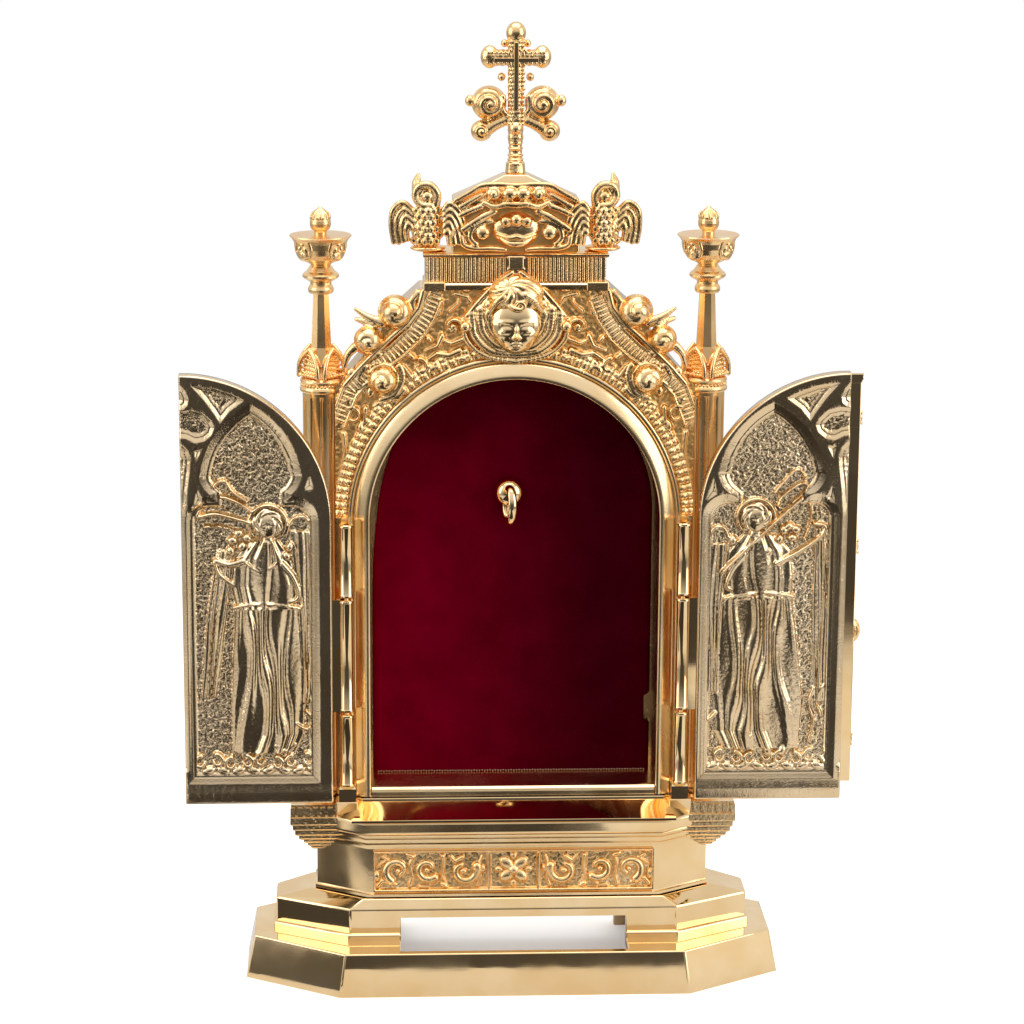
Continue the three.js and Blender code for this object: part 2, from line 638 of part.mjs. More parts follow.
// ---------- doors ----------
function panelDistance(u, z) {
  const { middle, half, bottom, shoulder, corner, foil, foilZ, arc } = PANEL;
  const across = Math.abs(u - middle);
  const lobe = Math.hypot(across, z - foilZ) - foil;
  const point = Math.hypot(across + arc - foil, z - foilZ) - arc;
  const lancet = z > foilZ ? point : lobe;
  const dx = across - half + corner;
  const dz = Math.abs(z - (shoulder + bottom) / 2) - (shoulder - bottom) / 2 + (z > 90 ? corner : 0);
  const rect = z > 90
    ? Math.hypot(Math.max(dx, 0), Math.max(dz, 0)) + Math.min(Math.max(dx, dz), 0) - corner
    : Math.max(across - half, dz);
  return Math.min(lancet, rect);
}

function bump(u, z, cu, cz, ru, rz, lean, rise) {
  const c = Math.cos(lean);
  const s = Math.sin(lean);
  const a = ((u - cu) * c + (z - cz) * s) / ru;
  const b = (-(u - cu) * s + (z - cz) * c) / rz;
  return rise * Math.sqrt(Math.max(0, 1 - a * a - b * b));
}

// The standing angel: u runs from the free edge to the hinge
function angelHeight(u, z, harp) {
  const flare = Math.max(0, ROBE.top - z) / (ROBE.top - ROBE.bottom);
  const left = ROBE.left - ROBE.flareLeft * flare;
  const right = ROBE.right + ROBE.flareRight * flare ** 2;
  const inRobe = u > left && u < right && z > ROBE.bottom && z < ROBE.top;
  const fold = 0.5 + 0.5 * Math.cos((u - left) / (right - left) * Math.PI * ROBE.folds);
  const robe = inRobe ? 0.7 + 0.8 * fold : 0;
  const horn = harp
    ? bump(u, z, 12.6, 126.6, 8.4, 2.5, -0.28, 1.8)
    : bump(u, z, 16, 118, 13.5, 1.5, -0.8, 2);
  return Math.max(
    robe,
    bump(u, z, 21.8, 124.6, 4.6, 4.6, 0, 0.8),
    bump(u, z, 21.6, 124, 2.7, 3.3, 0, 2.1),
    bump(u, z, 20.8, 111, 4.2, 8, 0.1, 1.9),
    bump(u, z, 25.6, 108, 2.2, 7, 0.5, 1.7),
    bump(u, z, 15.4, 112.5, 2, 6, -0.6, 1.6),
    bump(u, z, 30, 108, 3, 21, -0.08, 0.9),
    bump(u, z, 9, 103, 2.7, 22, -0.16, 0.9),
    bump(u, z, 18, 57.5, 15, 3, 0, 1.1),
    horn,
  );
}

function doorHeight(u, z, harp) {
  if (z < RAIL.top) return z < RAIL.edge ? RAIL.out : 0.1;
  const depth = -panelDistance(u, z);
  if (depth <= 0) return 0;
  if (depth < PANEL.edge) return depth < PANEL.slope ? -PANEL.step : -2 * PANEL.step;
  return -PANEL.ground + angelHeight(u, z, harp);
}

function doorLevels() {
  const radius = DOOR.far - DOOR.near;
  const straight = spread(DOOR.bottom, DOOR.spring, DOOR.rows);
  const arch = spread(0, 1, DOOR.archRows).slice(1)
    .map((t) => DOOR.spring + radius * Math.sin(t * DOOR.archEnd));
  return [...straight, ...arch];
}

function doorPanel(side, harp) {
  const radius = DOOR.far - DOOR.near;
  const edges = (z) => {
    const rise = Math.max(0, z - DOOR.spring);
    const width = Math.sqrt(radius * radius - rise * rise);
    const x = [side * DOOR.far, side * (DOOR.far - width)];
    return x.sort((a, b) => a - b);
  };
  const height = (x, z) => doorHeight(DOOR.far - Math.abs(x), z, harp);
  return relief(doorLevels(), DOOR.columns, edges, DOOR.front, DOOR.back, height);
}

function doorKnuckle(side) {
  const x = side * HINGE.x;
  const leaf = [x, side * (DOOR.near + 0.6)].sort((a, b) => a - b);
  const half = HINGE.leaf / 2;
  return [
    upright(x, HINGE.y, HINGE.radius, HINGE.midBottom, HINGE.midTop, HINGE.sides),
    box(leaf[0], leaf[1], HINGE.y - half, HINGE.y + half, HINGE.midBottom, HINGE.midTop),
  ];
}

// The strip on the right door's outer face that covers the joint when the doors are shut
function meetingStrip() {
  const { inside, outside, cap, reach, gap, thickness, bottom, top } = STRIP;
  const back = DOOR.back + gap;
  const inner = DOOR.far - inside;
  const outer = DOOR.far + outside;
  return [
    box(inner, outer, back, back + thickness, bottom, top),
    box(inner, DOOR.far - 0.4, DOOR.back - 0.3, back + 0.1, bottom, top - 1),
    box(inner, outer + cap, back, back + 1.3, top - 2.4, top),
    ball(DOOR.far + reach - BOSS.rx, back + thickness, BOSS.z, BOSS.rx, BOSS.ry, BOSS.rz, 0, 8, 6),
  ];
}

function door(side) {
  const extra = side > 0 ? meetingStrip() : [];
  const body = joined([doorPanel(side, side < 0), ...doorKnuckle(side), ...extra]);
  const hole = upright(side * HINGE.x, HINGE.y, HINGE.hole, HINGE.bottom, HINGE.top, HINGE.sides);
  return meshOf(side < 0 ? 'left_door' : 'right_door', body.subtract(hole), cast);
}

function hingePin(side) {
  const body = upright(side * HINGE.x, HINGE.y, HINGE.pin, HINGE.bottom + 0.2, HINGE.top, HINGE.sides);
  return meshOf(side < 0 ? 'left_hinge_pin' : 'right_hinge_pin', body, turned);
}

// ---------- cross ----------
function finialCross() {
  const { y, foot: base, neckTop, arm, top, stem, depth, armHalf } = CROSS;
  const { line, lineFront, lineHalf, lineBottom, lineTop } = CROSS;
  const neck = [
    [0, base], [2.6, base], [2.7, base + 2.6], [1.9, base + 3.2], [2.1, base + 5], [1.7, base + 5.6],
    [1.9, base + 7], [1.5, neckTop], [0, neckTop],
  ];
  const parts = [
    turnedBody(neck, 0, y, 8),
    box(-stem, stem, y - depth, y + depth, neckTop - 1, top - 5),
    box(-armHalf, armHalf, y - depth, y + depth, arm - stem, arm + stem),
    box(-line, line, y - lineFront, y, lineBottom, lineTop),
    box(-lineHalf, lineHalf, y - lineFront, y, arm - line, arm + line),
    ...lumps(CROSS_LUMPS, 0, y, 0),
    ...bothSides((side) => lumps(CROSS_SCROLLS, 0, y, 0, side)),
  ];
  return meshOf('cross', joined(parts), cast);
}

// ---------- assembly ----------
const reliquary = new THREE.Group();
reliquary.name = 'reliquary';
reliquary.add(foot(), predella(), front(), backPlate(), velvetBoard(), relicHook(), finialCross());
reliquary.add(...columns());
bothSides((side) => [door(side), hingePin(side)]).forEach((mesh) => reliquary.add(mesh));
reliquary.position.x = -STRIP.reach / 2;

export default reliquary;
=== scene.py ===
# A small altar-shaped reliquary of cast, gold-plated brass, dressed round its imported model.
# Pieces are modelled in millimetres about the reliquary's middle plane and settled into place in metres.
import math

import bmesh
import bpy
import numpy as np
from mathutils import Matrix, Vector


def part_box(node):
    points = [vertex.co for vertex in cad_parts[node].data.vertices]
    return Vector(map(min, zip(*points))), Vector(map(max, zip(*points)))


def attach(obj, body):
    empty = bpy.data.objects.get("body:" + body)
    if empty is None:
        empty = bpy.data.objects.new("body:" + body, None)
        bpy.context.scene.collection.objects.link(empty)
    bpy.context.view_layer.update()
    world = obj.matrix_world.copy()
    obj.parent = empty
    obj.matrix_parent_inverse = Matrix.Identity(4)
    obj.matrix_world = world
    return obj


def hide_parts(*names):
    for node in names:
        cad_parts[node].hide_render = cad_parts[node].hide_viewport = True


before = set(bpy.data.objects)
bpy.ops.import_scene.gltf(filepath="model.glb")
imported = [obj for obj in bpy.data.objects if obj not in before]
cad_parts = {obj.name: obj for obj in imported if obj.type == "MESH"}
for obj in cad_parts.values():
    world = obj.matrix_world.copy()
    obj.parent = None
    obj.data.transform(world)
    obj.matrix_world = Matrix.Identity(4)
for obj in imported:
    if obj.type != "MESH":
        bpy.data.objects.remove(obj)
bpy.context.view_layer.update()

# ---------------------------------------------------------------- studio
# The view, a pale floor that melts into a pale room, soft panels above and at both sides,
# and black cards that only show as dark bands in the polished metal.
CAMERA_PLACE = (-0.0435, -0.842, 0.3255)
CAMERA_PITCH = math.radians(13.5)
CAMERA_YAW = math.radians(2.77)
CAMERA_ROLL = math.radians(0.32)
CAMERA_LENS = 117.2
FRONT_ROOM = [(0.0, 0.05), (0.49, 0.08), (0.55, 0.32), (0.66, 0.75), (0.85, 0.95)]
SIDE_ROOM = [(0.0, 0.2), (0.42, 0.4), (0.54, 0.6), (0.68, 0.95), (1.0, 1.0)]
BACK_ROOM = [(0.0, 0.3), (0.49, 0.5), (0.55, 0.78), (0.7, 0.85), (0.85, 0.8)]
SOFT_PANELS = [
    ("ceiling_panel", (0.0, -0.1, 1.1), 1.1, 0.8, 6.0),
    ("left_panel", (-0.9, -0.3, 0.4), 0.6, 0.8, 2.6),
    ("right_panel", (0.9, -0.45, 0.35), 0.6, 0.8, 3.2),
]
BLACK_CARDS = {
    "front_card": [(-0.16, -0.6), (0.24, -0.6), (0.17, -0.36), (0.07, -0.3), (0.07, -0.08), (-0.12, -0.08)],
    "left_card": [(-0.058, -0.036), (-0.085, -0.014), (-0.25, -0.09), (-0.21, -0.15)],
}


def place_object(name, data):
    thing = bpy.data.objects.new(name, data)
    bpy.context.scene.collection.objects.link(thing)
    return thing


def fill(tree, made, **settings):
    """Sets a shader node up. A setting named after an input fills it, or a socket is linked to it."""
    for key, value in settings.items():
        inlet = key.replace("_", " ")
        if inlet not in made.inputs:
            setattr(made, key, value)
        elif isinstance(value, bpy.types.NodeSocket):
            tree.links.new(value, made.inputs[inlet])
        else:
            made.inputs[inlet].default_value = value
    return made


def node(tree, kind, **settings):
    return fill(tree, tree.nodes.new("ShaderNode" + kind), **settings)


def new_material(name, **settings):
    """A new material with its node tree and its shader, set up by the settings."""
    material = bpy.data.materials.new(name)
    material.use_nodes = True
    tree = material.node_tree
    return material, tree, fill(tree, tree.nodes["Principled BSDF"], **settings)


def ramp(tree, steps, factor):
    """A row of greys, each at its place along the factor."""
    made = node(tree, "ValToRGB", Fac=factor)
    elements = made.color_ramp.elements
    while len(elements) < len(steps):
        elements.new(0.5)
    for element, (position, level) in zip(elements, steps):
        element.position = position
        element.color = (level, level, level, 1)
    return made.outputs[0]


def blended(tree, factor, low, high):
    """A colour between low and high; each may be a colour or a socket."""
    made = node(tree, "Mix", data_type="RGBA")
    tree.links.new(factor, made.inputs[0])
    for inlet, value in ((6, low), (7, high)):
        if isinstance(value, tuple):
            made.inputs[inlet].default_value = (*value, 1)
        else:
            tree.links.new(value, made.inputs[inlet])
    return made.outputs[2]


def eased(tree, value, start, end, top=1.0):
    """Rises smoothly from 0 at start to top at end."""
    return node(tree, "MapRange", interpolation_type="SMOOTHSTEP", Value=value, From_Min=start, From_Max=end,
                To_Max=top).outputs[0]


def combine(tree, operation, *values):
    """The result of a Math node on numbers or sockets."""
    made = node(tree, "Math", operation=operation)
    for inlet, value in zip(made.inputs, values):
        if isinstance(value, float):
            inlet.default_value = value
        else:
            tree.links.new(value, inlet)
    return made.outputs[0]


camera_data = bpy.data.cameras.new("camera")
camera_data.lens = CAMERA_LENS
camera_data.sensor_width = 36
camera_data.clip_start = 0.05
camera = place_object("camera", camera_data)
camera.matrix_world = (
    Matrix.Translation(CAMERA_PLACE)
    @ Matrix.Rotation(-CAMERA_YAW, 4, "Z")
    @ Matrix.Rotation(math.pi / 2 - CAMERA_PITCH, 4, "X")
    @ Matrix.Rotation(CAMERA_ROLL, 4, "Z")
)
scene = bpy.context.scene
scene.camera = camera
scene.view_settings.view_transform = "Standard"
scene.cycles.max_bounces = 16
scene.cycles.glossy_bounces = 10

room = bpy.data.worlds.new("room")
room.use_nodes = True
scene.world = room
tree = room.node_tree
tree.nodes.clear()
axes = node(tree, "SeparateXYZ", Vector=node(tree, "TexCoord").outputs["Generated"])
lift = node(tree, "MapRange", Value=axes.outputs["Z"], From_Min=-1.0).outputs[0]
behind = eased(tree, axes.outputs["Y"], -0.35, 0.25)
beside = eased(tree, combine(tree, "ABSOLUTE", axes.outputs["X"]), 0.42, 0.78)
near_blend = blended(tree, beside, ramp(tree, FRONT_ROOM, lift), ramp(tree, SIDE_ROOM, lift))
room_blend = blended(tree, behind, near_blend, ramp(tree, BACK_ROOM, lift))
mirrored = node(tree, "Background", Color=room_blend)
seen = node(tree, "Background", Color=(1, 1, 1, 1))
pick = node(tree, "MixShader")
tree.links.new(node(tree, "LightPath").outputs["Is Camera Ray"], pick.inputs[0])
tree.links.new(mirrored.outputs[0], pick.inputs[1])
tree.links.new(seen.outputs[0], pick.inputs[2])
tree.links.new(pick.outputs[0], node(tree, "OutputWorld").inputs[0])

for name, place, width, height, power in SOFT_PANELS:
    lamp = bpy.data.lights.new(name, "AREA")
    lamp.shape = "RECTANGLE"
    lamp.size = width
    lamp.size_y = height
    lamp.energy = power
    panel = place_object(name, lamp)
    panel.location = place
    panel.rotation_euler = (Vector((0, 0, 0.12)) - Vector(place)).to_track_quat("-Z", "Y").to_euler()
    panel.visible_camera = False

paper, tree, shader = new_material("white_paper", Roughness=0.9, Emission_Color=(1, 0.995, 0.985, 1))
by_camera = node(tree, "LightPath").outputs["Is Camera Ray"]
reach = node(tree, "VectorMath", operation="LENGTH", Vector=node(tree, "TexCoord").outputs["Object"])
fade = node(tree, "MapRange", Value=reach.outputs["Value"], From_Min=0.3, From_Max=0.5,
            To_Min=1.0, To_Max=0.0)
fill(tree, shader, Base_Color=blended(tree, by_camera, (0.64, 0.635, 0.62), (0.93, 0.925, 0.915)),
     Emission_Strength=combine(tree, "MULTIPLY", by_camera, 0.22), Alpha=fade.outputs[0])
floor_mesh = bpy.data.meshes.new("floor")
bm = bmesh.new()
bmesh.ops.create_circle(bm, cap_ends=True, segments=96, radius=0.9)
bm.to_mesh(floor_mesh)
bm.free()
floor_mesh.materials.append(paper)
place_object("floor", floor_mesh)

black, _, _ = new_material("black_card", Base_Color=(0.008, 0.006, 0.004, 1), Roughness=0.9)
for name, corners in BLACK_CARDS.items():
    card_mesh = bpy.data.meshes.new(name)
    bm = bmesh.new()
    bm.faces.new([bm.verts.new((x, y, 0.0006)) for x, y in corners])
    bm.to_mesh(card_mesh)
    bm.free()
    card_mesh.materials.append(black)
    card = place_object(name, card_mesh)
    card.visible_camera = False
    card.visible_diffuse = False
    card.visible_shadow = False

# ---------------------------------------------------------------- foot
# A polished octagonal plinth and step, open behind its front bar. It is cast in one hollow piece,
# filed flat, buffed until it mirrors the room, and gold plated.
MM = 0.001
MIDDLE = (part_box("niche_front")[0].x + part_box("niche_front")[1].x) / 2
PALE_GOLD = (0.93, 0.70, 0.41)
WARM_GOLD = (0.88, 0.62, 0.32)
SIDES = ((-1, "left"), (1, "right"))
CAST_GOLD = {"Pale": (0.96, 0.68, 0.36, 1), "Warm": (0.92, 0.59, 0.26, 1)}


def effect(name, inlets, outlets):
    """Starts a node group with named number or colour inputs, and returns it with its two end nodes."""
    group = bpy.data.node_groups.new(name, "ShaderNodeTree")
    for title, value in inlets.items():
        kind = "NodeSocketColor" if isinstance(value, tuple) else "NodeSocketFloat"
        socket = group.interface.new_socket(title, in_out="INPUT", socket_type=kind)
        socket.default_value = value
    for title, kind in outlets.items():
        group.interface.new_socket(title, in_out="OUTPUT", socket_type=kind)
    return group, group.nodes.new("NodeGroupInput"), group.nodes.new("NodeGroupOutput")


def noise(tree, vector, scale, detail=2.0, roughness=0.5):
    made = node(tree, "TexNoise", Vector=vector, Scale=scale, Detail=detail, Roughness=roughness)
    return made.outputs["Fac"]


def spread_over(tree, value, low, high, start=0.35, end=0.65):
    """Maps a noise value from its usual middle range to low..high; low and high may be sockets."""
    made = node(tree, "MapRange", Value=value, From_Min=start, From_Max=end, To_Min=low, To_Max=high)
    return made.outputs[0]


# Plating: patches of paler and warmer gold where the bath laid it thinner or thicker, and an amber tint
# painted into the matted hollows as painted bounce light, standing for light reflected between the gold
# walls
plating, inlet, outlet = effect(
    "plating", {"Pale": (*PALE_GOLD, 1), "Warm": (*WARM_GOLD, 1), "Patch": 90.0, "PaintedGlow": 0.0},
    {"Color": "NodeSocketColor"})
place = node(plating, "TexCoord").outputs["Object"]
patches = node(plating, "TexNoise", Detail=3.0, Vector=place, Scale=inlet.outputs["Patch"])
mixed = blended(plating, spread_over(plating, patches.outputs["Fac"], 0.0, 1.0),
                inlet.outputs["Pale"], inlet.outputs["Warm"])
# Painted light: the sunk, matted ground is tinted towards amber, a painted stand-in for light bounced
# between gold walls in the hollows
sunken = node(plating, "Attribute", attribute_name="matted").outputs["Fac"]
painted_recess_glow = combine(plating, "MULTIPLY", sunken, inlet.outputs["PaintedGlow"])
fill(plating, outlet, Color=blended(plating, painted_recess_glow, mixed, (0.95, 0.52, 0.16)))

# Buffing: slow waves left by the wheel, fine hairlines, and dull touches where it was handled
buffing, inlet, outlet = effect(
    "buffing", {"Dull": 0.12, "Bright": 0.05, "Wave": 1.0, "Hairline": 0.06},
    {"Roughness": "NodeSocketFloat", "Height": "NodeSocketFloat"})
place = node(buffing, "TexCoord").outputs["Object"]
drawn = node(buffing, "Mapping", Vector=place, Scale=(0.06, 1.0, 1.0)).outputs["Vector"]
touches = noise(buffing, place, 60.0, 4.0)
waves = combine(buffing, "MULTIPLY", noise(buffing, place, 95.0, 1.0), inlet.outputs["Wave"])
hairs = combine(buffing, "MULTIPLY", noise(buffing, drawn, 2600.0, 1.0), inlet.outputs["Hairline"])
fill(buffing, outlet, Height=combine(buffing, "ADD", waves, hairs),
     Roughness=spread_over(buffing, touches, inlet.outputs["Bright"], inlet.outputs["Dull"]))

# Casting skin: sand-fine grain with a few pits, as it comes out of the mould, and the pebbles struck
# with a matting punch wherever the mesh is marked as matted
skin, inlet, outlet = effect(
    "casting_skin", {"Grain": 2600.0, "Low": 0.2, "High": 0.34, "Pits": 0.6, "Punch": 0.0, "Ground": 0.0},
    {"Roughness": "NodeSocketFloat", "Height": "NodeSocketFloat"})
place = node(skin, "TexCoord").outputs["Object"]
grains = node(skin, "TexNoise", Detail=3.0, Roughness=0.6, Vector=place, Scale=inlet.outputs["Grain"])
pits = node(skin, "TexVoronoi", Scale=900.0, Vector=place)
pitting = node(skin, "MapRange", Value=pits.outputs["Distance"], From_Min=0.0, From_Max=0.22,
               To_Min=-1.0, To_Max=0.0).outputs[0]
pitted = combine(skin, "ADD", grains.outputs["Fac"],
                 combine(skin, "MULTIPLY", pitting, inlet.outputs["Pits"]))
matted = node(skin, "Attribute", attribute_name="matted").outputs["Fac"]
pebbles = node(skin, "TexVoronoi", Scale=1900.0, Vector=place).outputs["Distance"]
struck = combine(skin, "MULTIPLY", combine(skin, "MULTIPLY", pebbles, inlet.outputs["Punch"]), matted)
worn = spread_over(skin, noise(skin, place, 140.0, 3.0), inlet.outputs["Low"], inlet.outputs["High"])
rough_ground = combine(skin, "MULTIPLY", matted, inlet.outputs["Ground"])
fill(skin, outlet, Height=combine(skin, "SUBTRACT", pitted, struck),
     Roughness=combine(skin, "ADD", worn, rough_ground))


def gilt(name, surface, depth, patch=90.0, gold={}, **values):
    """Gold-plated brass: plating colour plus one surface effect, whose height is depth millimetres deep."""
    metal, tree, shader = new_material(name, Metallic=1.0, Specular_IOR_Level=0.5)
    colour = node(tree, "Group", node_tree=plating, Patch=patch, **gold)
    finish = node(tree, "Group", node_tree=surface, **values)
    relief = node(tree, "Bump", Distance=depth * MM, Height=finish.outputs["Height"])
    fill(tree, shader, Base_Color=colour.outputs["Color"], Roughness=finish.outputs["Roughness"],
         Normal=relief.outputs["Normal"])
    return metal


def thinned(bm, share):
    """Keeps this share of the triangles; the flattest places lose theirs first."""
    mesh = bpy.data.meshes.new("full")
    bm.to_mesh(mesh)
    bm.free()
    full = place_object("full", mesh)
    fewer = full.modifiers.new("fewer", "DECIMATE")
    fewer.ratio = share
    out = bmesh.new()
    out.from_mesh(bpy.data.meshes.new_from_object(full.evaluated_get(bpy.context.evaluated_depsgraph_get())))
    bpy.data.objects.remove(full)
    return out


def settle(name, bm, metal, body, slot, *nodes, crease=32, filed=False, share=1.0):
    """Turns a millimetre bmesh about the middle plane into a finished piece in metres.
    A filed piece keeps its flats flat and only its rounded edges smooth."""
    if share < 1:
        bm = thinned(bm, share)
    bmesh.ops.translate(bm, vec=(MIDDLE / MM, 0, 0), verts=bm.verts)
    bmesh.ops.scale(bm, vec=(MM, MM, MM), verts=bm.verts)
    for edge in bm.edges:
        edge.smooth = edge.calc_face_angle(math.pi) < math.radians(crease)
        if not filed:
            for face in edge.link_faces:
                face.smooth = True
    mesh = bpy.data.meshes.new(name)
    bm.to_mesh(mesh)
    bm.free()
    mesh.materials.append(metal)
    piece = place_object(name, mesh)
    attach(piece, body)
    if nodes:
        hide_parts(*nodes)
    return piece


def copy_of(node_name):
    """A merged copy of a CAD node's mesh, in millimetres about the middle plane."""
    bm = bmesh.new()
    bm.from_mesh(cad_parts[node_name].data)
    bmesh.ops.scale(bm, vec=(1 / MM, 1 / MM, 1 / MM), verts=bm.verts)
    bmesh.ops.translate(bm, vec=(-MIDDLE / MM, 0, 0), verts=bm.verts)
    bmesh.ops.remove_doubles(bm, verts=bm.verts, dist=0.002)
    bmesh.ops.dissolve_limit(bm, angle_limit=math.radians(0.5), verts=bm.verts, edges=bm.edges)
    return bm


def to_side(bm, side):
    """Mirrors what was built for the right side if it is to go on the left."""
    if side < 0:
        bmesh.ops.scale(bm, vec=(-1, 1, 1), verts=bm.verts)
        bmesh.ops.reverse_faces(bm, faces=bm.faces)


def soften(bm, size, segments=3, above=18):
    """Rounds every outer edge that turns by more than above degrees, as filing and buffing do.
    The edges round an underside stay sharp."""
    sharp = [edge for edge in bm.edges if edge.is_convex and edge.calc_face_angle(0) > math.radians(above)
             and min(face.normal.z for face in edge.link_faces) > -0.9]
    for face in bm.faces:
        face.smooth = False
    rounded = bmesh.ops.bevel(bm, geom=sharp, offset=size, offset_type="OFFSET", segments=segments,
                              profile=0.5, affect="EDGES", clamp_overlap=True, material=-1)
    for face in rounded["faces"]:
        face.smooth = True


mirror_gilt = gilt("polished_gilt", buffing, 0.05, Dull=0.1, Bright=0.035, Wave=1.0, Hairline=0.02)
bm = copy_of("foot")
soften(bm, 0.35)
settle("foot_dressed", bm, mirror_gilt, "shrine", "polished_gilt", "foot", filed=True)

# ---------------------------------------------------------------- predella
# The cast box under the niche: an eight-sided block with a moulded cornice, stepped corbels under the
# columns, and a sill hollowed along its front. One casting, mouldings buffed, the corbels left grained.
BLOCK_PLAN = (38, 14, 51.5, 5.5)
BLOCK_LEVELS = [
    (22.9, 0.5), (23.6, 0.5), (23.8, 0.2), (24.1, 0), (36, 0), (36.15, 0.35), (36.7, 0.4), (36.9, 0.75),
    (37.4, 0.85), (37.6, 0.65), (37.8, 0.65), (38, 1.0), (38.9, 1.1), (39.1, 0.9), (39.3, 0.95),
    (39.6, 1.5), (40.1, 1.6), (40.3, 1.5), (40.5, 2.0), (40.8, 2.45), (41.3, 2.6), (43.4, 2.6), (43.8, 2.5),
    (44.05, 2.2), (44.2, 1.9),
]
CORBEL_COURSES = [(33.7, -5.3), (34.7, -4.4), (35.9, -3.4), (37.2, -2.2), (38.6, -1.2), (40.2, -0.6),
                  (41.8, 0)]
CORBEL = {"near": 40, "far": 58.4, "front": 12.2, "top": 44.2, "groove": 0.45}
SILL = {"bottom": 44, "top": 49}
SILL_PLAN = (39.4, 11.2, 40.9, 9.7)
BLOCK_INNER = {"near": 40.8, "far": 46.5, "back": 8.4, "low_front": 12, "high_front": 14.2}


def eight_sided(plan, z, out):
    """The corners of an octagon (front half width, front, side half width, start of side), grown by out."""
    front_half, front, side_half, side = plan
    turn = out * 0.55
    quarter = [(front_half + turn, front + out), (side_half + out, side + turn)]
    corners = [(x, -y) for x, y in quarter] + [(x, y) for x, y in reversed(quarter)]
    return [Vector((x, y, z)) for x, y in corners] + [Vector((-x, y, z)) for x, y in reversed(corners)]


def only(kind, items):
    """The vertices, edges or faces among what a mesh operation made."""
    return [item for item in items if isinstance(item, kind)]


def raise_plan(bm, outlines):
    """Draws the first outline as a face, then extrudes it through each following outline."""
    corners = [bm.verts.new(point) for point in outlines[0]]
    top = bm.faces.new(corners)
    for outline in outlines[1:]:
        grown = bmesh.ops.extrude_face_region(bm, geom=[top])
        top = only(bmesh.types.BMFace, grown["geom"])[0]
        for vert, point in zip(top.verts, outline):
            vert.co = point
    bmesh.ops.recalc_face_normals(bm, faces=bm.faces)


def oblong(x0, x1, y0, y1, z):
    return [Vector(point) for point in ((x0, y0, z), (x1, y0, z), (x1, y1, z), (x0, y1, z))]


def block(bm, x0, x1, y0, y1, z0, z1):
    raise_plan(bm, [oblong(x0, x1, y0, y1, z0), oblong(x0, x1, y0, y1, z1)])


bright_gilt = gilt("bright_cast_gilt", buffing, 0.05, Dull=0.24, Bright=0.1, Wave=1.2, Hairline=0.08)
cast_gilt = gilt("cast_gilt", skin, 0.1, Grain=1500.0, Low=0.16, High=0.26)

bm = bmesh.new()
raise_plan(bm, [eight_sided(BLOCK_PLAN, z, out) for z, out in BLOCK_LEVELS])
settle("predella_block", bm, bright_gilt, "shrine", "cast_gilt", "predella", crease=40)

for side, label in SIDES:
    bm = bmesh.new()
    near, far, front = CORBEL["near"], CORBEL["far"], CORBEL["front"]
    tops = [z for z, _ in CORBEL_COURSES[1:]] + [CORBEL["top"]]
    levels = []
    for (low, out), high in zip(CORBEL_COURSES, tops):
        inset = out - CORBEL["groove"]
        levels += [(low, inset), (low + 0.12, inset), (low + 0.3, out - 0.1), (low + 0.5, out),
                   (high - 0.2, out), (high - 0.05, out - 0.12), (high, inset)]
    raise_plan(bm, [oblong(near - out * 0.6, far + out, -front - out, front + out, z) for z, out in levels])
    for tooth in range(7):
        tooth_x = near + 5.4 + 1.95 * tooth
        block(bm, tooth_x, tooth_x + 1.25, -front + 0.4, -front + 4.6, 44, 46.6)
    block(bm, near + 4.8, far - 0.3, -front + 1.1, -front + 4.6, 44, 47.3)
    to_side(bm, side)
    settle(f"corbel_{label}", bm, cast_gilt, "shrine", "cast_gilt", "predella", crease=40)

# Sill: its front is a shallow hollow that mirrors the velvet above it, mitred at both ends
bm = bmesh.new()
hollow = [(SILL["top"], 0), (SILL["top"] - 0.2, 0.12), (SILL["top"] - 0.7, 0.2)]
for step in range(15):
    t = step / 14
    hollow.append((SILL["top"] - 0.8 - 3.5 * (1.16 * t - 0.16 * t * t), 0.2 + 5.2 * t))
hollow += [(44.55, 5.45), (SILL["bottom"], 5.4)]
raise_plan(bm, [eight_sided(SILL_PLAN, z, out) for z, out in reversed(hollow)])
settle("sill", bm, mirror_gilt, "shrine", "cast_gilt", "predella", crease=30)

for side, label in SIDES:
    bm = bmesh.new()
    levels = ((SILL["bottom"], BLOCK_INNER["low_front"]), (SILL["top"], BLOCK_INNER["high_front"]))
    raise_plan(bm, [oblong(BLOCK_INNER["near"], BLOCK_INNER["far"], -front, -BLOCK_INNER["back"], z)
                    for z, front in levels])
    to_side(bm, side)
    soften(bm, 0.4)
    settle(f"hinge_block_{label}", bm, bright_gilt, "shrine", "cast_gilt", "predella", filed=True)

# ---------------------------------------------------------------- scroll panels
# Cast relief let into the block's front: three curling leaves on each side of a square with a
# four-petalled flower. The ground between the leaves is matted with a punch.
SCROLLS = {"half": 36.8, "bottom": 24.5, "top": 35.7, "face": -15, "back": -13.6, "ground": 0.95,
           "square": 6.1}
SCROLL_EYES = [(30.4, 30, 0.8, 0.8, 0), (22.8, 30.2, 0.8, 0.8, 0), (13.2, 29.8, 1.1, 0.8, 0),
               (27, 34.2, 1.5, 0.7, 0.4), (18.2, 26, 1.4, 0.7, 0.5), (35.7, 28.6, 0.7, 1.5, 0),
               (8, 30.4, 0.6, 1.2, 0.2)]


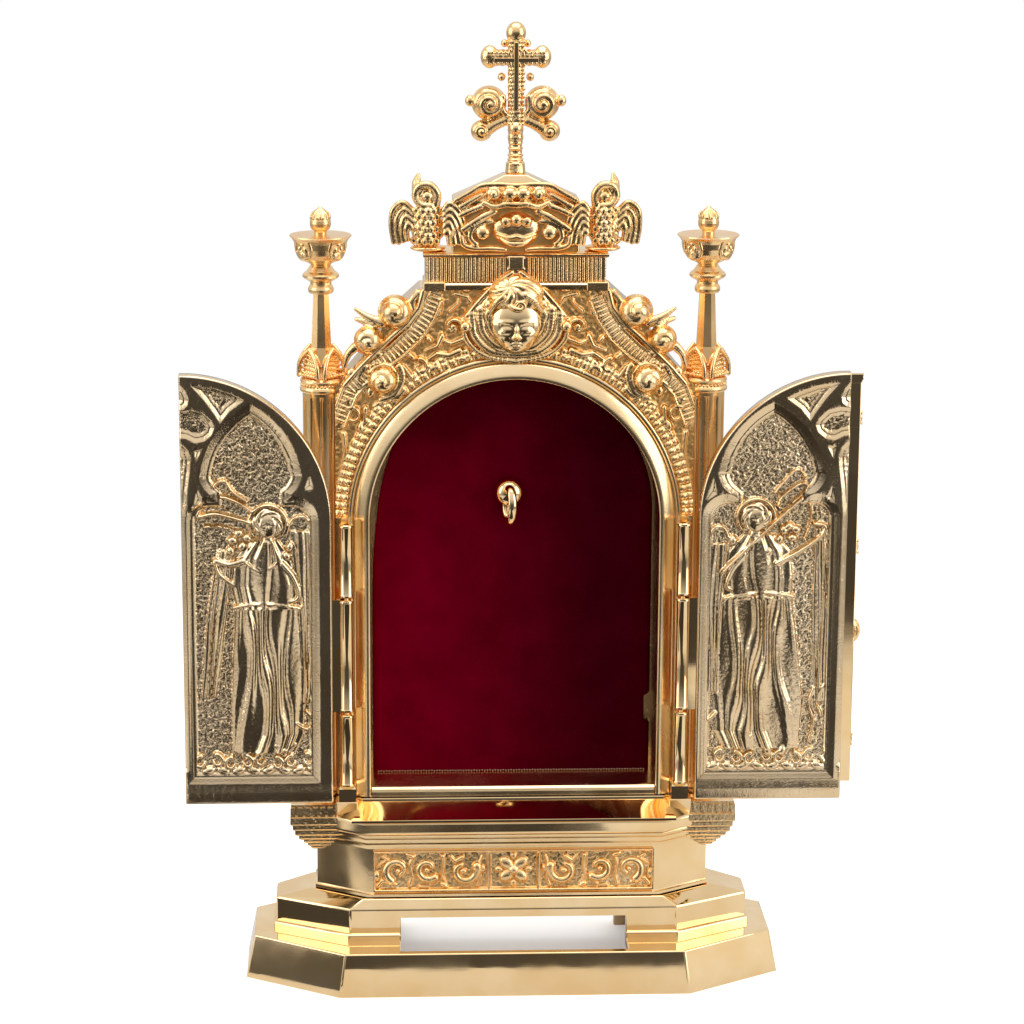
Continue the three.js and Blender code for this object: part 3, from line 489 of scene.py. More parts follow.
def near_path(x, z, path):
    """Each point's distance to a bent line, and how far along the line (0 to 1) the nearest place is."""
    points = np.asarray(path, float)
    lengths = np.maximum(np.hypot(*np.diff(points, axis=0).T), 1e-9)
    best = np.full(x.shape, 1e9)
    along = np.zeros(x.shape)
    run = 0.0
    for (ax, az), (bx, bz), length in zip(points[:-1], points[1:], lengths):
        share = np.clip(((x - ax) * (bx - ax) + (z - az) * (bz - az)) / length ** 2, 0, 1)
        away = np.hypot(x - ax - share * (bx - ax), z - az - share * (bz - az))
        closer = away < best
        best = np.where(closer, away, best)
        along = np.where(closer, (run + share * length) / lengths.sum(), along)
        run += length
    return best, along


def roll(relief, x, z, path, width, rise, tip=None, base=0.0):
    """Lays a rounded ridge along a bent line on the relief; tip is its width at the far end."""
    points = np.asarray(path, float)
    tip = width if tip is None else tip
    reach = max(width, tip) / 2
    near = ((x > points[:, 0].min() - reach) & (x < points[:, 0].max() + reach)
            & (z > points[:, 1].min() - reach) & (z < points[:, 1].max() + reach))
    away, along = near_path(x[near], z[near], points)
    half = (width + (tip - width) * along) / 2
    ridge = base + rise * np.sqrt(np.clip(1 - (away / half) ** 2, 0, 1)) * np.clip(half / reach, 0.35, 1)
    relief[near] = np.where(away < half, np.maximum(relief[near], ridge), relief[near])


def dome(relief, x, z, centre, half_width, half_height, rise, lean=0.0, base=0.0, power=0.5):
    """Raises an oval swelling on the relief."""
    across, up = x - centre[0], z - centre[1]
    a = (across * math.cos(lean) + up * math.sin(lean)) / half_width
    b = (-across * math.sin(lean) + up * math.cos(lean)) / half_height
    inside = a * a + b * b < 1
    swell = base + rise * np.clip(1 - a * a - b * b, 0, 1) ** power
    relief[inside] = np.maximum(relief[inside], swell[inside])


def curl(centre, outer, inner, start, turn, steps=26):
    """A spiral from radius outer to inner; angles in degrees, anticlockwise seen from the front."""
    angles = np.radians(np.linspace(start, start + turn, steps))
    radii = np.linspace(outer, inner, steps)
    return [(centre[0] + r * math.cos(a), centre[1] + r * math.sin(a)) for a, r in zip(angles, radii)]


def matting(x, z, size, seed):
    """Smooth random grain between 0 and 1 with lumps of the given size."""
    table = np.random.default_rng(seed).random((96, 96))
    i, j = x / size, z / size
    i0, j0 = np.floor(i).astype(int), np.floor(j).astype(int)
    s, t = i - i0, j - j0
    s, t = s * s * (3 - 2 * s), t * t * (3 - 2 * t)
    low = table[i0 % 96, j0 % 96] * (1 - s) + table[(i0 + 1) % 96, j0 % 96] * s
    high = table[i0 % 96, (j0 + 1) % 96] * (1 - s) + table[(i0 + 1) % 96, (j0 + 1) % 96] * s
    return low * (1 - t) + high * t


def relief_slab(columns, rows, place, height, face, back, drop=None, matted=None):
    """A closed slab whose front is a carved net: place(s, t) gives x and z for s, t in 0..1,
    height(x, z) the carving in front of face. drop(x, z) marks openings in the net, and
    matted(x, z) tells how deeply its ground is struck with the punch; the same mark sets where the plating
    paints its amber bounce light."""
    bm = bmesh.new()
    bmesh.ops.create_grid(bm, x_segments=columns, y_segments=rows, size=0.5)
    flat = np.array([vert.co for vert in bm.verts])
    x, z = place(flat[:, 0] + 0.5, flat[:, 1] + 0.5)
    carved = height(x, z)
    for vert, *spot in zip(bm.verts, x, face - carved, z):
        vert.co = spot
    if matted is not None:
        layer = bm.verts.layers.float.new("matted")
        for vert, struck in zip(bm.verts, matted(x, z)):
            vert[layer] = struck
    if drop is not None:
        gone = drop(x, z)
        bmesh.ops.delete(bm, geom=[vert for vert, out in zip(bm.verts, gone) if out], context="VERTS")
    rim = [edge for edge in bm.edges if edge.is_boundary]
    grown = bmesh.ops.extrude_edge_only(bm, edges=rim)["geom"]
    for vert in only(bmesh.types.BMVert, grown):
        vert.co.y = back
    bmesh.ops.triangle_fill(bm, use_beauty=False, use_dissolve=True, normal=(0, 1, 0),
                            edges=only(bmesh.types.BMEdge, grown))
    bmesh.ops.recalc_face_normals(bm, faces=bm.faces)
    return bm


def scroll_carving(x, z):
    ground = SCROLLS["ground"]
    middle = (SCROLLS["bottom"] + SCROLLS["top"]) / 2
    relief = 0.16 * matting(x, z, 0.42, 3) - 0.1
    for side in (-1, 1):
        strokes = [
            (curl((30.6, middle), 3.2, 1.5, -60, 290), 2.5, 1.35),
            (curl((22.6, middle + 0.3), 3.0, 1.4, -130, 280), 2.4, 1.35),
            (curl((13.0, middle - 0.2), 3.6, 1.7, 160, 260), 2.7, 1.4),
            ([(35.6, 26), (34.6, 27.4), (32.6, 26.6), (31, 26.3)], 1.3, 0.9),
            ([(27.2, 26.2), (26.6, 28.4), (27.2, 31.4), (26.4, 33.8)], 1.3, 0.8),
            ([(18.6, 34), (18.3, 31.6), (18.8, 28.6), (17.6, 26.2)], 1.3, 0.9),
            ([(9.4, 26), (8.6, 28.4), (9, 31.6), (8.2, 34)], 1.2, 0.8),
            ([(34.4, 34), (33, 33.2), (35.6, 31.4)], 1.1, 0.8),
            ([(13.6, 33.6), (15.4, 32.4), (16.6, 33.9)], 1.4, 0.9),
            ([(24.6, 25.7), (22.4, 25.6), (20.6, 26.8)], 1.1, 0.8),
        ]
        for path, width, rise in strokes:
            flipped = [(side * px, pz) for px, pz in path]
            roll(relief, x, z, flipped, width, rise, tip=width * 0.55)
        for cx, cz, rx, rz, lean in SCROLL_EYES:
            dome(relief, x, z, (side * cx, cz), rx, rz, 1.0, lean * side)
    for quarter in range(4):
        turn = math.pi / 4 + quarter * math.pi / 2
        dome(relief, x, z, (2.6 * math.cos(turn), middle + 2.4 * math.sin(turn)), 2.2, 1.6, 1.1, turn)
        turn = quarter * math.pi / 2
        dome(relief, x, z, (3.9 * math.cos(turn), middle + 3.7 * math.sin(turn)), 1.1, 0.8, 0.7, turn)
    dome(relief, x, z, (0, middle), 1.5, 1.5, 1.6)
    relief = relief - ground
    across = np.abs(x)
    edge = np.minimum.reduce([SCROLLS["half"] - across, z - SCROLLS["bottom"], SCROLLS["top"] - z])
    fillet = np.clip((0.75 - edge) / 0.3, 0, 1)
    post = np.clip((0.55 - np.abs(across - SCROLLS["square"] - 0.4)) / 0.25, 0, 1)
    return relief + (0.12 - relief) * np.maximum(fillet, post * 0.9)


def scroll_place(s, t):
    x = (2 * s - 1) * SCROLLS["half"]
    return x, SCROLLS["bottom"] + t * (SCROLLS["top"] - SCROLLS["bottom"])


# Painted bounce light: these reliefs tint their matted hollows amber through the plating's glow input
relief_gilt = gilt("relief_gilt", skin, 0.05, gold={**CAST_GOLD, "PaintedGlow": 0.75}, Grain=2200.0,
                   Low=0.12, High=0.22, Ground=0.22)
bm = relief_slab(440, 66, scroll_place, scroll_carving, SCROLLS["face"], SCROLLS["back"],
                 matted=lambda x, z: np.clip(0.1 - 2 * scroll_carving(x, z), 0, 1))
frieze_gilt = gilt("frieze_gilt", skin, 0.05, gold={**CAST_GOLD, "PaintedGlow": 0.3}, Grain=2200.0,
                   Low=0.14, High=0.28, Ground=0.12)
settle("scroll_panels", bm, frieze_gilt, "shrine", "cast_gilt", "predella", crease=60, share=0.65)

# ---------------------------------------------------------------- gable plate
# The upright front of the shrine: one casting that holds the arched niche, swept in above the columns
# to carry the frieze. Its back is left flat; its face is carved from the arch up to the frieze.
FRAME = {"bottom": 49.3, "spring": 123, "half": 46, "back": 4.7, "ground": -8, "top": 183.4}
NICHE = {"half": 37.3, "floor": 51.9, "cut": 39.5}
RIBS = {"inner": 43.2, "outer": 46.8, "pitch": 2.0}
SWEEP = [(46, 158), (42.3, 161.9), (38.8, 166.1), (35.6, 170.6), (32.6, 175.1), (29.4, 178.7), (24.2, 183.4)]


def frame_half(z):
    """Half width of the plate at height z: straight up to the columns' rings, then swept in."""
    return np.interp(z, [point[1] for point in SWEEP], [point[0] for point in SWEEP])


def arch(half, bottom, spring, y, steps=48):
    """Points of a round-headed outline, from the bottom right corner over the top."""
    angles = [math.pi * step / steps for step in range(steps + 1)]
    return ([Vector((half, y, bottom))]
            + [Vector((half * math.cos(a), y, spring + half * math.sin(a))) for a in angles]
            + [Vector((-half, y, bottom))])


def holed_slab(outer, inner, front, back):
    """A slab between two outlines, the inner one cut right through."""
    bm = bmesh.new()
    edges = []
    for outline in (outer, inner):
        loop = [bm.verts.new((point.x, front, point.z)) for point in outline]
        edges += [bm.edges.new((loop[i], loop[(i + 1) % len(loop)])) for i in range(len(loop))]
    bmesh.ops.triangle_fill(bm, use_beauty=False, use_dissolve=False, edges=edges, normal=(0, -1, 0))
    grown = bmesh.ops.extrude_face_region(bm, geom=bm.faces[:] + bm.edges[:] + bm.verts[:])
    for vert in only(bmesh.types.BMVert, grown["geom"]):
        vert.co.y = back
    bmesh.ops.recalc_face_normals(bm, faces=bm.faces)
    return bm


outline = ([Vector((FRAME["half"], 0, FRAME["bottom"]))] + [Vector((x, 0, z)) for x, z in SWEEP]
           + [Vector((-x, 0, z)) for x, z in reversed(SWEEP)]
           + [Vector((-FRAME["half"], 0, FRAME["bottom"]))])
bm = holed_slab(outline, arch(NICHE["half"], NICHE["floor"], FRAME["spring"], 0), FRAME["ground"] + 0.5,
                FRAME["back"])
settle("gable_plate", bm, bright_gilt, "shrine", "cast_gilt", "niche_front", crease=30)

# ---------------------------------------------------------------- gable carving
# Low carving over the whole face: a row of radiating ribs round the arch, hatched bands sweeping from
# the frieze to the columns, curling leaves between them and a matted ground.
BAND = [(20.4, 181.6), (22.6, 176.4), (25.8, 171.6), (30.4, 167.2), (36, 163.2), (42, 157.4), (45.2, 149)]
RIM = [(23.4, 183), (24.6, 178.6), (27.6, 174.6), (31.4, 171.2), (35.2, 167.6), (39.6, 163.2), (43.6, 158.6)]
GABLE_BUDS = [(15.8, 173.6, 1.1, 1.1, 0), (20.8, 163, 2.0, 1.1, -0.5), (26.6, 166, 1.7, 0.9, 0.6),
              (31.4, 155.8, 1.5, 1.0, 0.4), (36.8, 157, 1.3, 1.9, 0.3), (22, 170.4, 1.3, 0.8, 0.9),
              (42.6, 154.6, 1.2, 1.7, 0), (13.2, 165.4, 1.5, 0.8, 0.3), (17, 161.9, 1.3, 0.8, -0.6),
              (39.6, 147.6, 0.9, 1.6, 0.2), (12.4, 183, 1.2, 0.5, 0)]


def gable_carving(x, z):
    across = np.abs(x)
    relief = 0.3 * matting(x, z, 0.55, 11) + 0.12 * matting(x, z, 0.3, 12)
    rise = np.maximum(z - FRAME["spring"], 0)
    away = np.hypot(across, rise)
    turn = np.arctan2(rise, across) * RIBS["inner"] + np.minimum(z - FRAME["spring"], 0)
    ridge = np.abs(np.cos(math.pi * turn / RIBS["pitch"])) ** 0.6
    along = (away - RIBS["inner"]) / (RIBS["outer"] - RIBS["inner"])
    swell = np.clip(np.sin(math.pi * np.clip(along, 0, 1)), 0, 1) ** 0.35
    beads = 0.75 + 0.25 * np.cos(2 * math.pi * along * 2.5)
    rib = (along > 0) & (along < 1) & (z > 123.8)
    relief = np.where(rib, np.maximum(relief, 0.25 + 1.15 * ridge * swell * beads), relief)
    for side in (-1, 1):
        band = [(side * px, pz) for px, pz in BAND]
        gap, run = near_path(x, z, band)
        hatch = np.abs(np.sin(math.pi * run * 34)) ** 0.7
        inside = gap < 1.7
        cord = 0.6 + 0.7 * hatch * np.sqrt(np.clip(1 - (gap / 1.7) ** 2, 0, 1))
        relief = np.where(inside, np.maximum(relief, cord), relief)
        for shift in (2.15, -2.15):
            path = [(px + side * shift * 0.75, pz + shift * 0.66) for px, pz in band]
            roll(relief, x, z, path, 0.9, 0.9, base=0.5)
        roll(relief, x, z, [(side * px, pz) for px, pz in RIM], 1.9, 1.3, base=0.6, tip=1.4)
        strokes = [
            (curl((15.8, 173.6), 2.3, 0.7, 200, -400), 1.5, 1.9),
            (curl((33.2, 160.4), 3.9, 1.2, 30, 340), 2.2, 2.0),
            (curl((24.4, 163.2), 2.2, 0.7, 90, 330), 1.5, 1.5),
            (curl((41.6, 150.6), 2.3, 0.8, 60, 320), 1.5, 1.5),
            ([(14.2, 167.4), (17, 166.2), (20, 166.6), (22.6, 164.8)], 2.2, 1.6),
            ([(18.6, 171.2), (19.8, 168.6), (22.8, 167.4)], 1.9, 1.5),
            ([(13.4, 170.4), (16.4, 169.2), (19, 170.2)], 1.6, 1.4),
            ([(26.6, 160.6), (28.4, 163.2), (31, 164.6)], 1.8, 1.5),
            ([(28.4, 157.4), (30, 155.4), (33, 155.2), (36, 153)], 2.0, 1.5),
            ([(36.8, 160), (39.4, 157.8), (40.6, 154.4)], 1.8, 1.5),
            ([(38.2, 152.6), (38.6, 148), (40.6, 144.2)], 1.6, 1.3),
            ([(43.8, 146), (43.4, 141), (44.6, 136)], 1.3, 1.0),
            ([(15.4, 182), (12.4, 181.2), (10.8, 178.6)], 1.4, 1.0),
            ([(19.6, 176.8), (18.8, 179.6), (19.8, 182.2)], 1.5, 1.1),
            ([(16.8, 177.6), (14.6, 179.6), (14.2, 182)], 1.2, 1.0),
        ]
        for path, width, height in strokes:
            roll(relief, x, z, [(side * px, pz) for px, pz in path], width, height, tip=width * 0.5)
        for cx, cz, rx, rz, lean in GABLE_BUDS:
            dome(relief, x, z, (side * cx, cz), rx, rz, 1.4, lean * side)
    seam = np.clip((124.6 - z) / 1.2, 0, 1)
    return relief * (1 - seam)


def gable_place(s, t):
    z = FRAME["bottom"] + t * (FRAME["top"] - FRAME["bottom"])
    return (2 * s - 1) * (frame_half(z) - 0.02), z


def in_niche(x, z):
    return (np.hypot(x, np.maximum(z - FRAME["spring"], 0)) < NICHE["cut"]) & (z > FRAME["bottom"] + 0.4) | (
        (np.abs(x) < NICHE["cut"]) & (z < FRAME["spring"]))


bm = relief_slab(330, 480, gable_place, gable_carving, FRAME["ground"], FRAME["ground"] + 1, in_niche,
                 matted=lambda x, z: np.clip(1.5 - 2 * gable_carving(x, z), 0, 1) * (z > 124))
settle("gable_carving", bm, relief_gilt, "shrine", "cast_gilt", "niche_front", crease=70, share=0.62)

# ---------------------------------------------------------------- niche ring
# The polished moulding round the niche: a broad roll between two thin beads, with a plain bar across
# the foot. Cast with the plate and brushed; its inner wall runs back past the velvet.
RING_SECTION = [
    (37.2, 4.6), (37.2, -10.4), (37.25, -10.7), (37.5, -10.92), (37.9, -11.0), (38.3, -10.95),
    (38.8, -10.75), (40.0, -10.15), (40.9, -9.7), (41.25, -9.45), (41.4, -9.1), (41.5, -8.7),
    (41.65, -8.75), (41.8, -9.05), (42.1, -9.25), (42.6, -9.2), (42.95, -8.9), (43.1, -8.4), (43.1, 4.6),
]
BAR = [(-7.9, 49.25), (-11.0, 49.3), (-11.1, 49.7), (-11.1, 50.6), (-10.9, 51.3), (-10.4, 51.8), (-9.7, 52),
       (4.6, 52)]
BAR_HALF = 37

bm = bmesh.new()
profile = [bm.verts.new((r, y, FRAME["spring"])) for r, y in RING_SECTION]
section_edges = [bm.edges.new((profile[i], profile[(i + 1) % len(profile)])) for i in range(len(profile))]
turned = bmesh.ops.spin(bm, geom=profile + section_edges, cent=(0, 0, FRAME["spring"]), axis=(0, -1, 0),
                        angle=math.pi, steps=96, use_merge=False)
for end in (section_edges, only(bmesh.types.BMEdge, turned["geom_last"])):
    leg = bmesh.ops.extrude_edge_only(bm, edges=end)["geom"]
    for vert in only(bmesh.types.BMVert, leg):
        vert.co.z = FRAME["bottom"]
    bmesh.ops.edgeloop_fill(bm, edges=only(bmesh.types.BMEdge, leg))
bmesh.ops.remove_doubles(bm, verts=bm.verts, dist=0.001)
bmesh.ops.recalc_face_normals(bm, faces=bm.faces)
ring_gilt = gilt("brushed_ring_gilt", buffing, 0.05, Dull=0.3, Bright=0.17, Wave=0.8, Hairline=0.25)
settle("niche_ring", bm, ring_gilt, "shrine", "cast_gilt", "niche_front", crease=50)

bm = bmesh.new()
end = bm.faces.new([bm.verts.new((-BAR_HALF, y, z)) for y, z in BAR + [(4.6, 49.25)]])
grown = bmesh.ops.extrude_face_region(bm, geom=[end])
bmesh.ops.translate(bm, vec=(2 * BAR_HALF, 0, 0), verts=only(bmesh.types.BMVert, grown["geom"]))
bmesh.ops.recalc_face_normals(bm, faces=bm.faces)
settle("niche_threshold", bm, ring_gilt, "shrine", "cast_gilt", "niche_front", filed=True)

# ---------------------------------------------------------------- frieze
# A narrow fluted band under the crown, with a fillet above and below, a plain keystone in the middle
# and a small bracket at each end. The flutes turn the corners and stop at the plain back.
FRIEZE = {"half": 22.9, "front": -9.2, "back": 4.4, "flute": 1.06}
FRIEZE_LEVELS = [(183, -0.6), (183.2, 0.1), (184, 0.5), (184.5, 0.5), (184.9, 0.1), (185.2, -0.5),
                 (191.2, -0.5), (191.4, 0.2), (191.7, 0.6), (192.2, 0.6), (192.5, 0.2)]

bm = bmesh.new()
raise_plan(bm, [oblong(-FRIEZE["half"] - out, FRIEZE["half"] + out, FRIEZE["front"] - out,
                       FRIEZE["back"] + out * 0.3, z)
                for z, out in FRIEZE_LEVELS])
settle("frieze_core", bm, bright_gilt, "shrine", "cast_gilt", "niche_front", crease=40)

bm = bmesh.new()
count = int((2 * FRIEZE["half"] - 0.6) / FRIEZE["flute"])
spots = [(-FRIEZE["half"] + 0.8 + i * FRIEZE["flute"], FRIEZE["front"] + 0.55) for i in range(count)]
spots = [(x, y) for x, y in spots if abs(x) > 2.6]
depth = int((FRIEZE["back"] - FRIEZE["front"] - 1.4) / FRIEZE["flute"])
for side in (-1, 1):
    spots += [(side * (FRIEZE["half"] - 0.4), FRIEZE["front"] + 1.3 + i * FRIEZE["flute"])
              for i in range(depth)]
for x, y in spots:
    bmesh.ops.create_cone(bm, cap_ends=True, segments=8, radius1=0.4, radius2=0.4, depth=6.1,
                          matrix=Matrix.Translation((x, y, 188.3)))
settle("frieze_flutes", bm, relief_gilt, "shrine", "cast_gilt", "niche_front", crease=60)

bm = bmesh.new()
for x0, x1, y0, z0, z1 in ((-1.9, 1.9, -10.2, 188.8, 191.9), (-2.3, 2.3, -9.9, 191.2, 191.9),
                           (-2.3, 2.3, -9.9, 188.3, 189), (17.9, 23.5, -10.4, 183.1, 185.3),
                           (-23.5, -17.9, -10.4, 183.1, 185.3)):
    block(bm, x0, x1, y0, -7.6, z0, z1)
soften(bm, 0.3)
settle("keystone_and_brackets", bm, relief_gilt, "shrine", "cast_gilt", "niche_front", filed=True)

# ---------------------------------------------------------------- cherub
# A child's head in full relief before a fluted shell of folded wings, over the crown of the arch.
# It is cast with the front; the face is left smooth and the hair and feathers are chased.
CHERUB = {"z": 174.6, "y": -9.4, "half": 6.9, "height": 7.9, "depth": 4.4}
HAIR = {"z": 182.0, "y": -9.2, "half": 6.9, "height": 5.0, "depth": 4.3}


def ball(bm, centre, radii, lean=(0, 0, 0), detail=3):
    """An oval lump; lean turns it about x, y and z in degrees."""
    radii = (radii,) * 3 if isinstance(radii, (int, float)) else radii
    turn = Matrix.Identity(4)
    for angle, axis in zip(lean, "XYZ"):
        turn = turn @ Matrix.Rotation(math.radians(angle), 4, axis)
    bmesh.ops.create_icosphere(bm, subdivisions=detail, radius=1,
                               matrix=Matrix.Translation(centre) @ turn @ Matrix.Diagonal((*radii, 1)))


def bend(points, steps=8):
    """A smooth line through points."""
    padded = [points[0], *points, points[-1]]
    line = []
    for p0, p1, p2, p3 in zip(padded, padded[1:], padded[2:], padded[3:]):
        p0, p1, p2, p3 = (np.array(p, float) for p in (p0, p1, p2, p3))
        for t in np.arange(steps) / steps:
            line.append(0.5 * (2 * p1 + (p2 - p0) * t + (2 * p0 - 5 * p1 + 4 * p2 - p3) * t ** 2
                               + (3 * p1 - p0 - 3 * p2 + p3) * t ** 3))
    return line + [np.array(points[-1], float)]


def rope(bm, points, start, end=None, swell=0.0):
    """A rounded strand along a smooth line, start to end thick, built of overlapping beads."""
    end = start if end is None else end
    line = bend(points)
    lengths = [float(np.linalg.norm(b - a)) for a, b in zip(line, line[1:])]
    total, run, last = max(sum(lengths), 1e-6), 0.0, -1e9
    beads = bmesh.new()
    for spot, length in zip(line, lengths + [0.0]):
        share = run / total
        radius = start + (end - start) * share + swell * math.sin(math.pi * share)
        if run - last > radius * 0.45 or share > 0.999:
            bmesh.ops.create_icosphere(beads, subdivisions=2, radius=radius, matrix=Matrix.Translation(spot))
            last = run
        run += length
    strand = bpy.data.meshes.new("strand")
    beads.to_mesh(strand)
    beads.free()
    bm.from_mesh(strand)
    bpy.data.meshes.remove(strand)


def cast_together(bm, voxel=0.24, rounds=2, mirror=False):
    """Melts overlapping lumps into one closed skin, as they are in the casting."""
    if mirror:
        bmesh.ops.mirror(bm, geom=bm.faces[:] + bm.edges[:] + bm.verts[:], axis="X", merge_dist=0)
    bmesh.ops.recalc_face_normals(bm, faces=bm.faces)
    mesh = bpy.data.meshes.new("lumps")
    bm.to_mesh(mesh)
    bm.free()
    lumps = place_object("lumps", mesh)
    melt = lumps.modifiers.new("melt", "REMESH")
    melt.mode = "VOXEL"
    melt.voxel_size = voxel
    melted = bpy.data.meshes.new_from_object(lumps.evaluated_get(bpy.context.evaluated_depsgraph_get()))
    bpy.data.objects.remove(lumps)
    out = bmesh.new()
    out.from_mesh(melted)
    for _ in range(rounds):
        bmesh.ops.smooth_vert(out, verts=out.verts, factor=0.5, use_axis_x=True, use_axis_y=True,
                              use_axis_z=True)
    return out


def bump(u, v, cu, cv, ru, rv):
    return np.clip(1 - ((u - cu) / ru) ** 2 - ((v - cv) / rv) ** 2, 0, 1) ** 1.5


bm = bmesh.new()
bmesh.ops.create_icosphere(bm, subdivisions=6, radius=1)
skull = np.array([vert.co for vert in bm.verts])
u, depth, v = skull[:, 0], skull[:, 1], skull[:, 2]
cheek = np.abs(u)
taper = 1 - 0.06 * np.clip(-v, 0, 1) ** 1.8
front = np.clip(-depth, 0, 1) ** 0.5
raised = (
    0.3 * bump(cheek, v, 0.38, 0.12, 0.34, 0.1) - 0.42 * bump(cheek, v, 0.38, -0.06, 0.3, 0.16)
    + 0.5 * bump(cheek, v, 0.38, -0.11, 0.24, 0.13) - 0.25 * bump(cheek, v, 0.37, -0.235, 0.2, 0.03)
    + 1.25 * bump(u, v, 0, -0.36, 0.13, 0.13) + 0.6 * bump(u, v, 0, -0.18, 0.08, 0.26)
    + 0.5 * bump(cheek, v, 0.12, -0.39, 0.09, 0.06) + 0.55 * bump(cheek, v, 0.5, -0.42, 0.36, 0.3)
    + 0.6 * bump(cheek, v, 0.08, -0.58, 0.15, 0.05) + 0.6 * bump(u, v, 0, -0.67, 0.17, 0.06)
    - 0.4 * bump(u, v, 0, -0.625, 0.24, 0.025) - 0.25 * bump(u, v, 0, -0.5, 0.05, 0.07)
    - 0.25 * bump(u, v, 0, -0.77, 0.22, 0.06) + 0.55 * bump(u, v, 0, -0.88, 0.24, 0.15)
)
for vert, spot, lift, narrow, near in zip(bm.verts, skull, raised, taper, front):
    vert.co = (spot[0] * CHERUB["half"] * narrow, CHERUB["y"] + spot[1] * CHERUB["depth"] - lift * near,
               CHERUB["z"] + spot[2] * CHERUB["height"])
settle("cherub_face", bm, bright_gilt, "shrine", "cast_gilt", "niche_front", crease=180)

# Hair: strands combed from a parting at one side, with a curl on the forehead and one over each ear
bm = bmesh.new()
bmesh.ops.create_icosphere(bm, subdivisions=6, radius=1)
for vert in bm.verts:
    x, y, z = vert.co
    away = math.hypot(x + 0.3, z - 0.5)
    strand = abs(math.sin(5 * math.atan2(z - 0.5, x + 0.3) + 4.2 * away)) ** 0.6
    size = 1 + 0.13 * strand * max(0.0, 0.3 - y) * min(1.0, away * 2.5)
    vert.co = (x * HAIR["half"] * size, HAIR["y"] + y * HAIR["depth"] * size,
               HAIR["z"] + z * HAIR["height"] * size)
rope(bm, [(-2.6, -12.6, 180.6), (-0.9, -13.9, 179.2), (1.2, -14.0, 178.9), (1.9, -13.9, 180.0),
          (0.9, -14.0, 180.7), (0.1, -14.0, 180.1)], 0.85, 0.5)
rope(bm, [(2.2, -13.2, 182.4), (4.6, -12.6, 180.8), (6.3, -11.4, 178.4)], 1.2, 0.7)
rope(bm, [(-3.4, -13.0, 182.0), (-5.2, -12.4, 180.4), (-6.5, -11.2, 178.2)], 1.0, 0.7)
for side in (-1, 1):
    rope(bm, [(side * 6.4, -10.8, 178.6), (side * 7.3, -10.4, 176.8), (side * 6.9, -10.2, 174.6),
              (side * 7.7, -9.8, 173.4)], 1.0, 0.5, swell=0.2)
bm = cast_together(bm, 0.2, rounds=1)
settle("cherub_hair", bm, relief_gilt, "shrine", "cast_gilt", "niche_front", crease=180, share=0.7)

# Two folded wings make a fluted shell behind the head, hooded at the top, with a ball at each tip
bm = bmesh.new()
ball(bm, (0, -7.4, 174), (12.6, 1.7, 8.6), detail=4)
ball(bm, (0, -7.6, 179.5), (8.6, 1.7, 8.6), detail=4)
for flute in range(4):
    inward = 2.1 * flute
    thick = 0.85 if flute == 0 else 1.25
    rope(bm, [(-13.3 + inward, -8.5 - 0.5 * flute, 175.6 + 0.6 * inward),
              (-12.5 + inward, -9.1 - 0.4 * flute, 170.4 + 0.5 * inward),
              (-7.9 + 0.8 * inward, -9.5 - 0.3 * flute, 166.3 + 0.6 * inward),
              (0, -9.4, 164.7 + 0.9 * inward)], thick, thick * 0.8)
for feather in range(3):
    rope(bm, [(-1.0 - 0.6 * feather, -10.4, 187.7 - 1.4 * feather),
              (-5.5 - 0.2 * feather, -10.0, 184.4 - 1.7 * feather),
              (-9.4 + 0.6 * feather, -9.5, 180.2 - 1.9 * feather),
              (-12.4 + 1.8 * feather, -9.1, 176.4 - 1.2 * feather)], 0.6, 0.75)
ball(bm, (-12.9, -10.0, 173.9), 1.5)
bm = cast_together(bm, 0.22, rounds=1, mirror=True)
settle("cherub_wings", bm, relief_gilt, "shrine", "cast_gilt", "niche_front", crease=180, share=0.55)

# ---------------------------------------------------------------- crockets
# Rolled leaves that climb both shoulders of the gable, each one a ball wound round like a snail with
# a leaf tip springing from behind it. Cast solid with the front.
CROCKETS = [(30.6, 177.6, 4.4, -9.2, 40), (37.4, 170.4, 3.7, -9.2, 200), (33.8, 160.0, 4.0, -9.4, 120)]
LEAF_TIPS = [
    ([(34, -8.2, 174.6), (37.4, -8.0, 176.0), (40.6, -7.4, 178.0)], 1.5, 0.5),
    ([(36.4, -8.2, 174.2), (39, -7.6, 175.0), (40.4, -7.2, 175.4)], 1.2, 0.6),
    ([(40.8, -8.4, 168.4), (42.6, -8.2, 166.4), (43.6, -7.6, 163.4)], 1.3, 0.7),
    ([(24.8, -8.2, 182.2), (26.2, -8.6, 180.4), (26, -8.6, 178)], 1.2, 0.9),
    ([(29.6, -8.4, 163.4), (28.8, -8.6, 160.4), (30.6, -8.6, 156.4), (34.2, -8.4, 154.8)], 1.2, 0.9),
    ([(38.4, -8.4, 163.4), (39.8, -8.2, 160.2), (38.2, -8.2, 156.8)], 1.3, 0.8),
]
BERRIES = [
    ((41.6, -8.2, 161.6), (1.4, 1.2, 1.6)),
    ((35.0, -8.4, 166.6), (1.5, 1.2, 1.2)),
    ((27.4, -8.4, 173.6), (1.4, 1.0, 1.2)),
]


def snail(bm, centre, radius, start, side, groove=0.2, winds=0.85):
    """A ball wound round like a snail shell, seen from the front."""
    before = len(bm.verts)
    bmesh.ops.create_icosphere(bm, subdivisions=5, radius=1)
    bm.verts.ensure_lookup_table()
    for vert in bm.verts[before:]:
        x, y, z = vert.co
        away = math.hypot(x, z)
        wind = math.atan2(z, side * x) / (2 * math.pi) + away * winds + start / 360
        crest = abs(math.sin(math.pi * wind)) ** 0.55
        facing = max(0.0, -y) ** 0.4 if away > 0.16 else 0.2
        size = radius * (1 - groove * (1 - crest) * facing) * (1 - 0.1 * away * facing)
        vert.co = (centre[0] + x * size, centre[1] + y * size * 0.95, centre[2] + z * size)


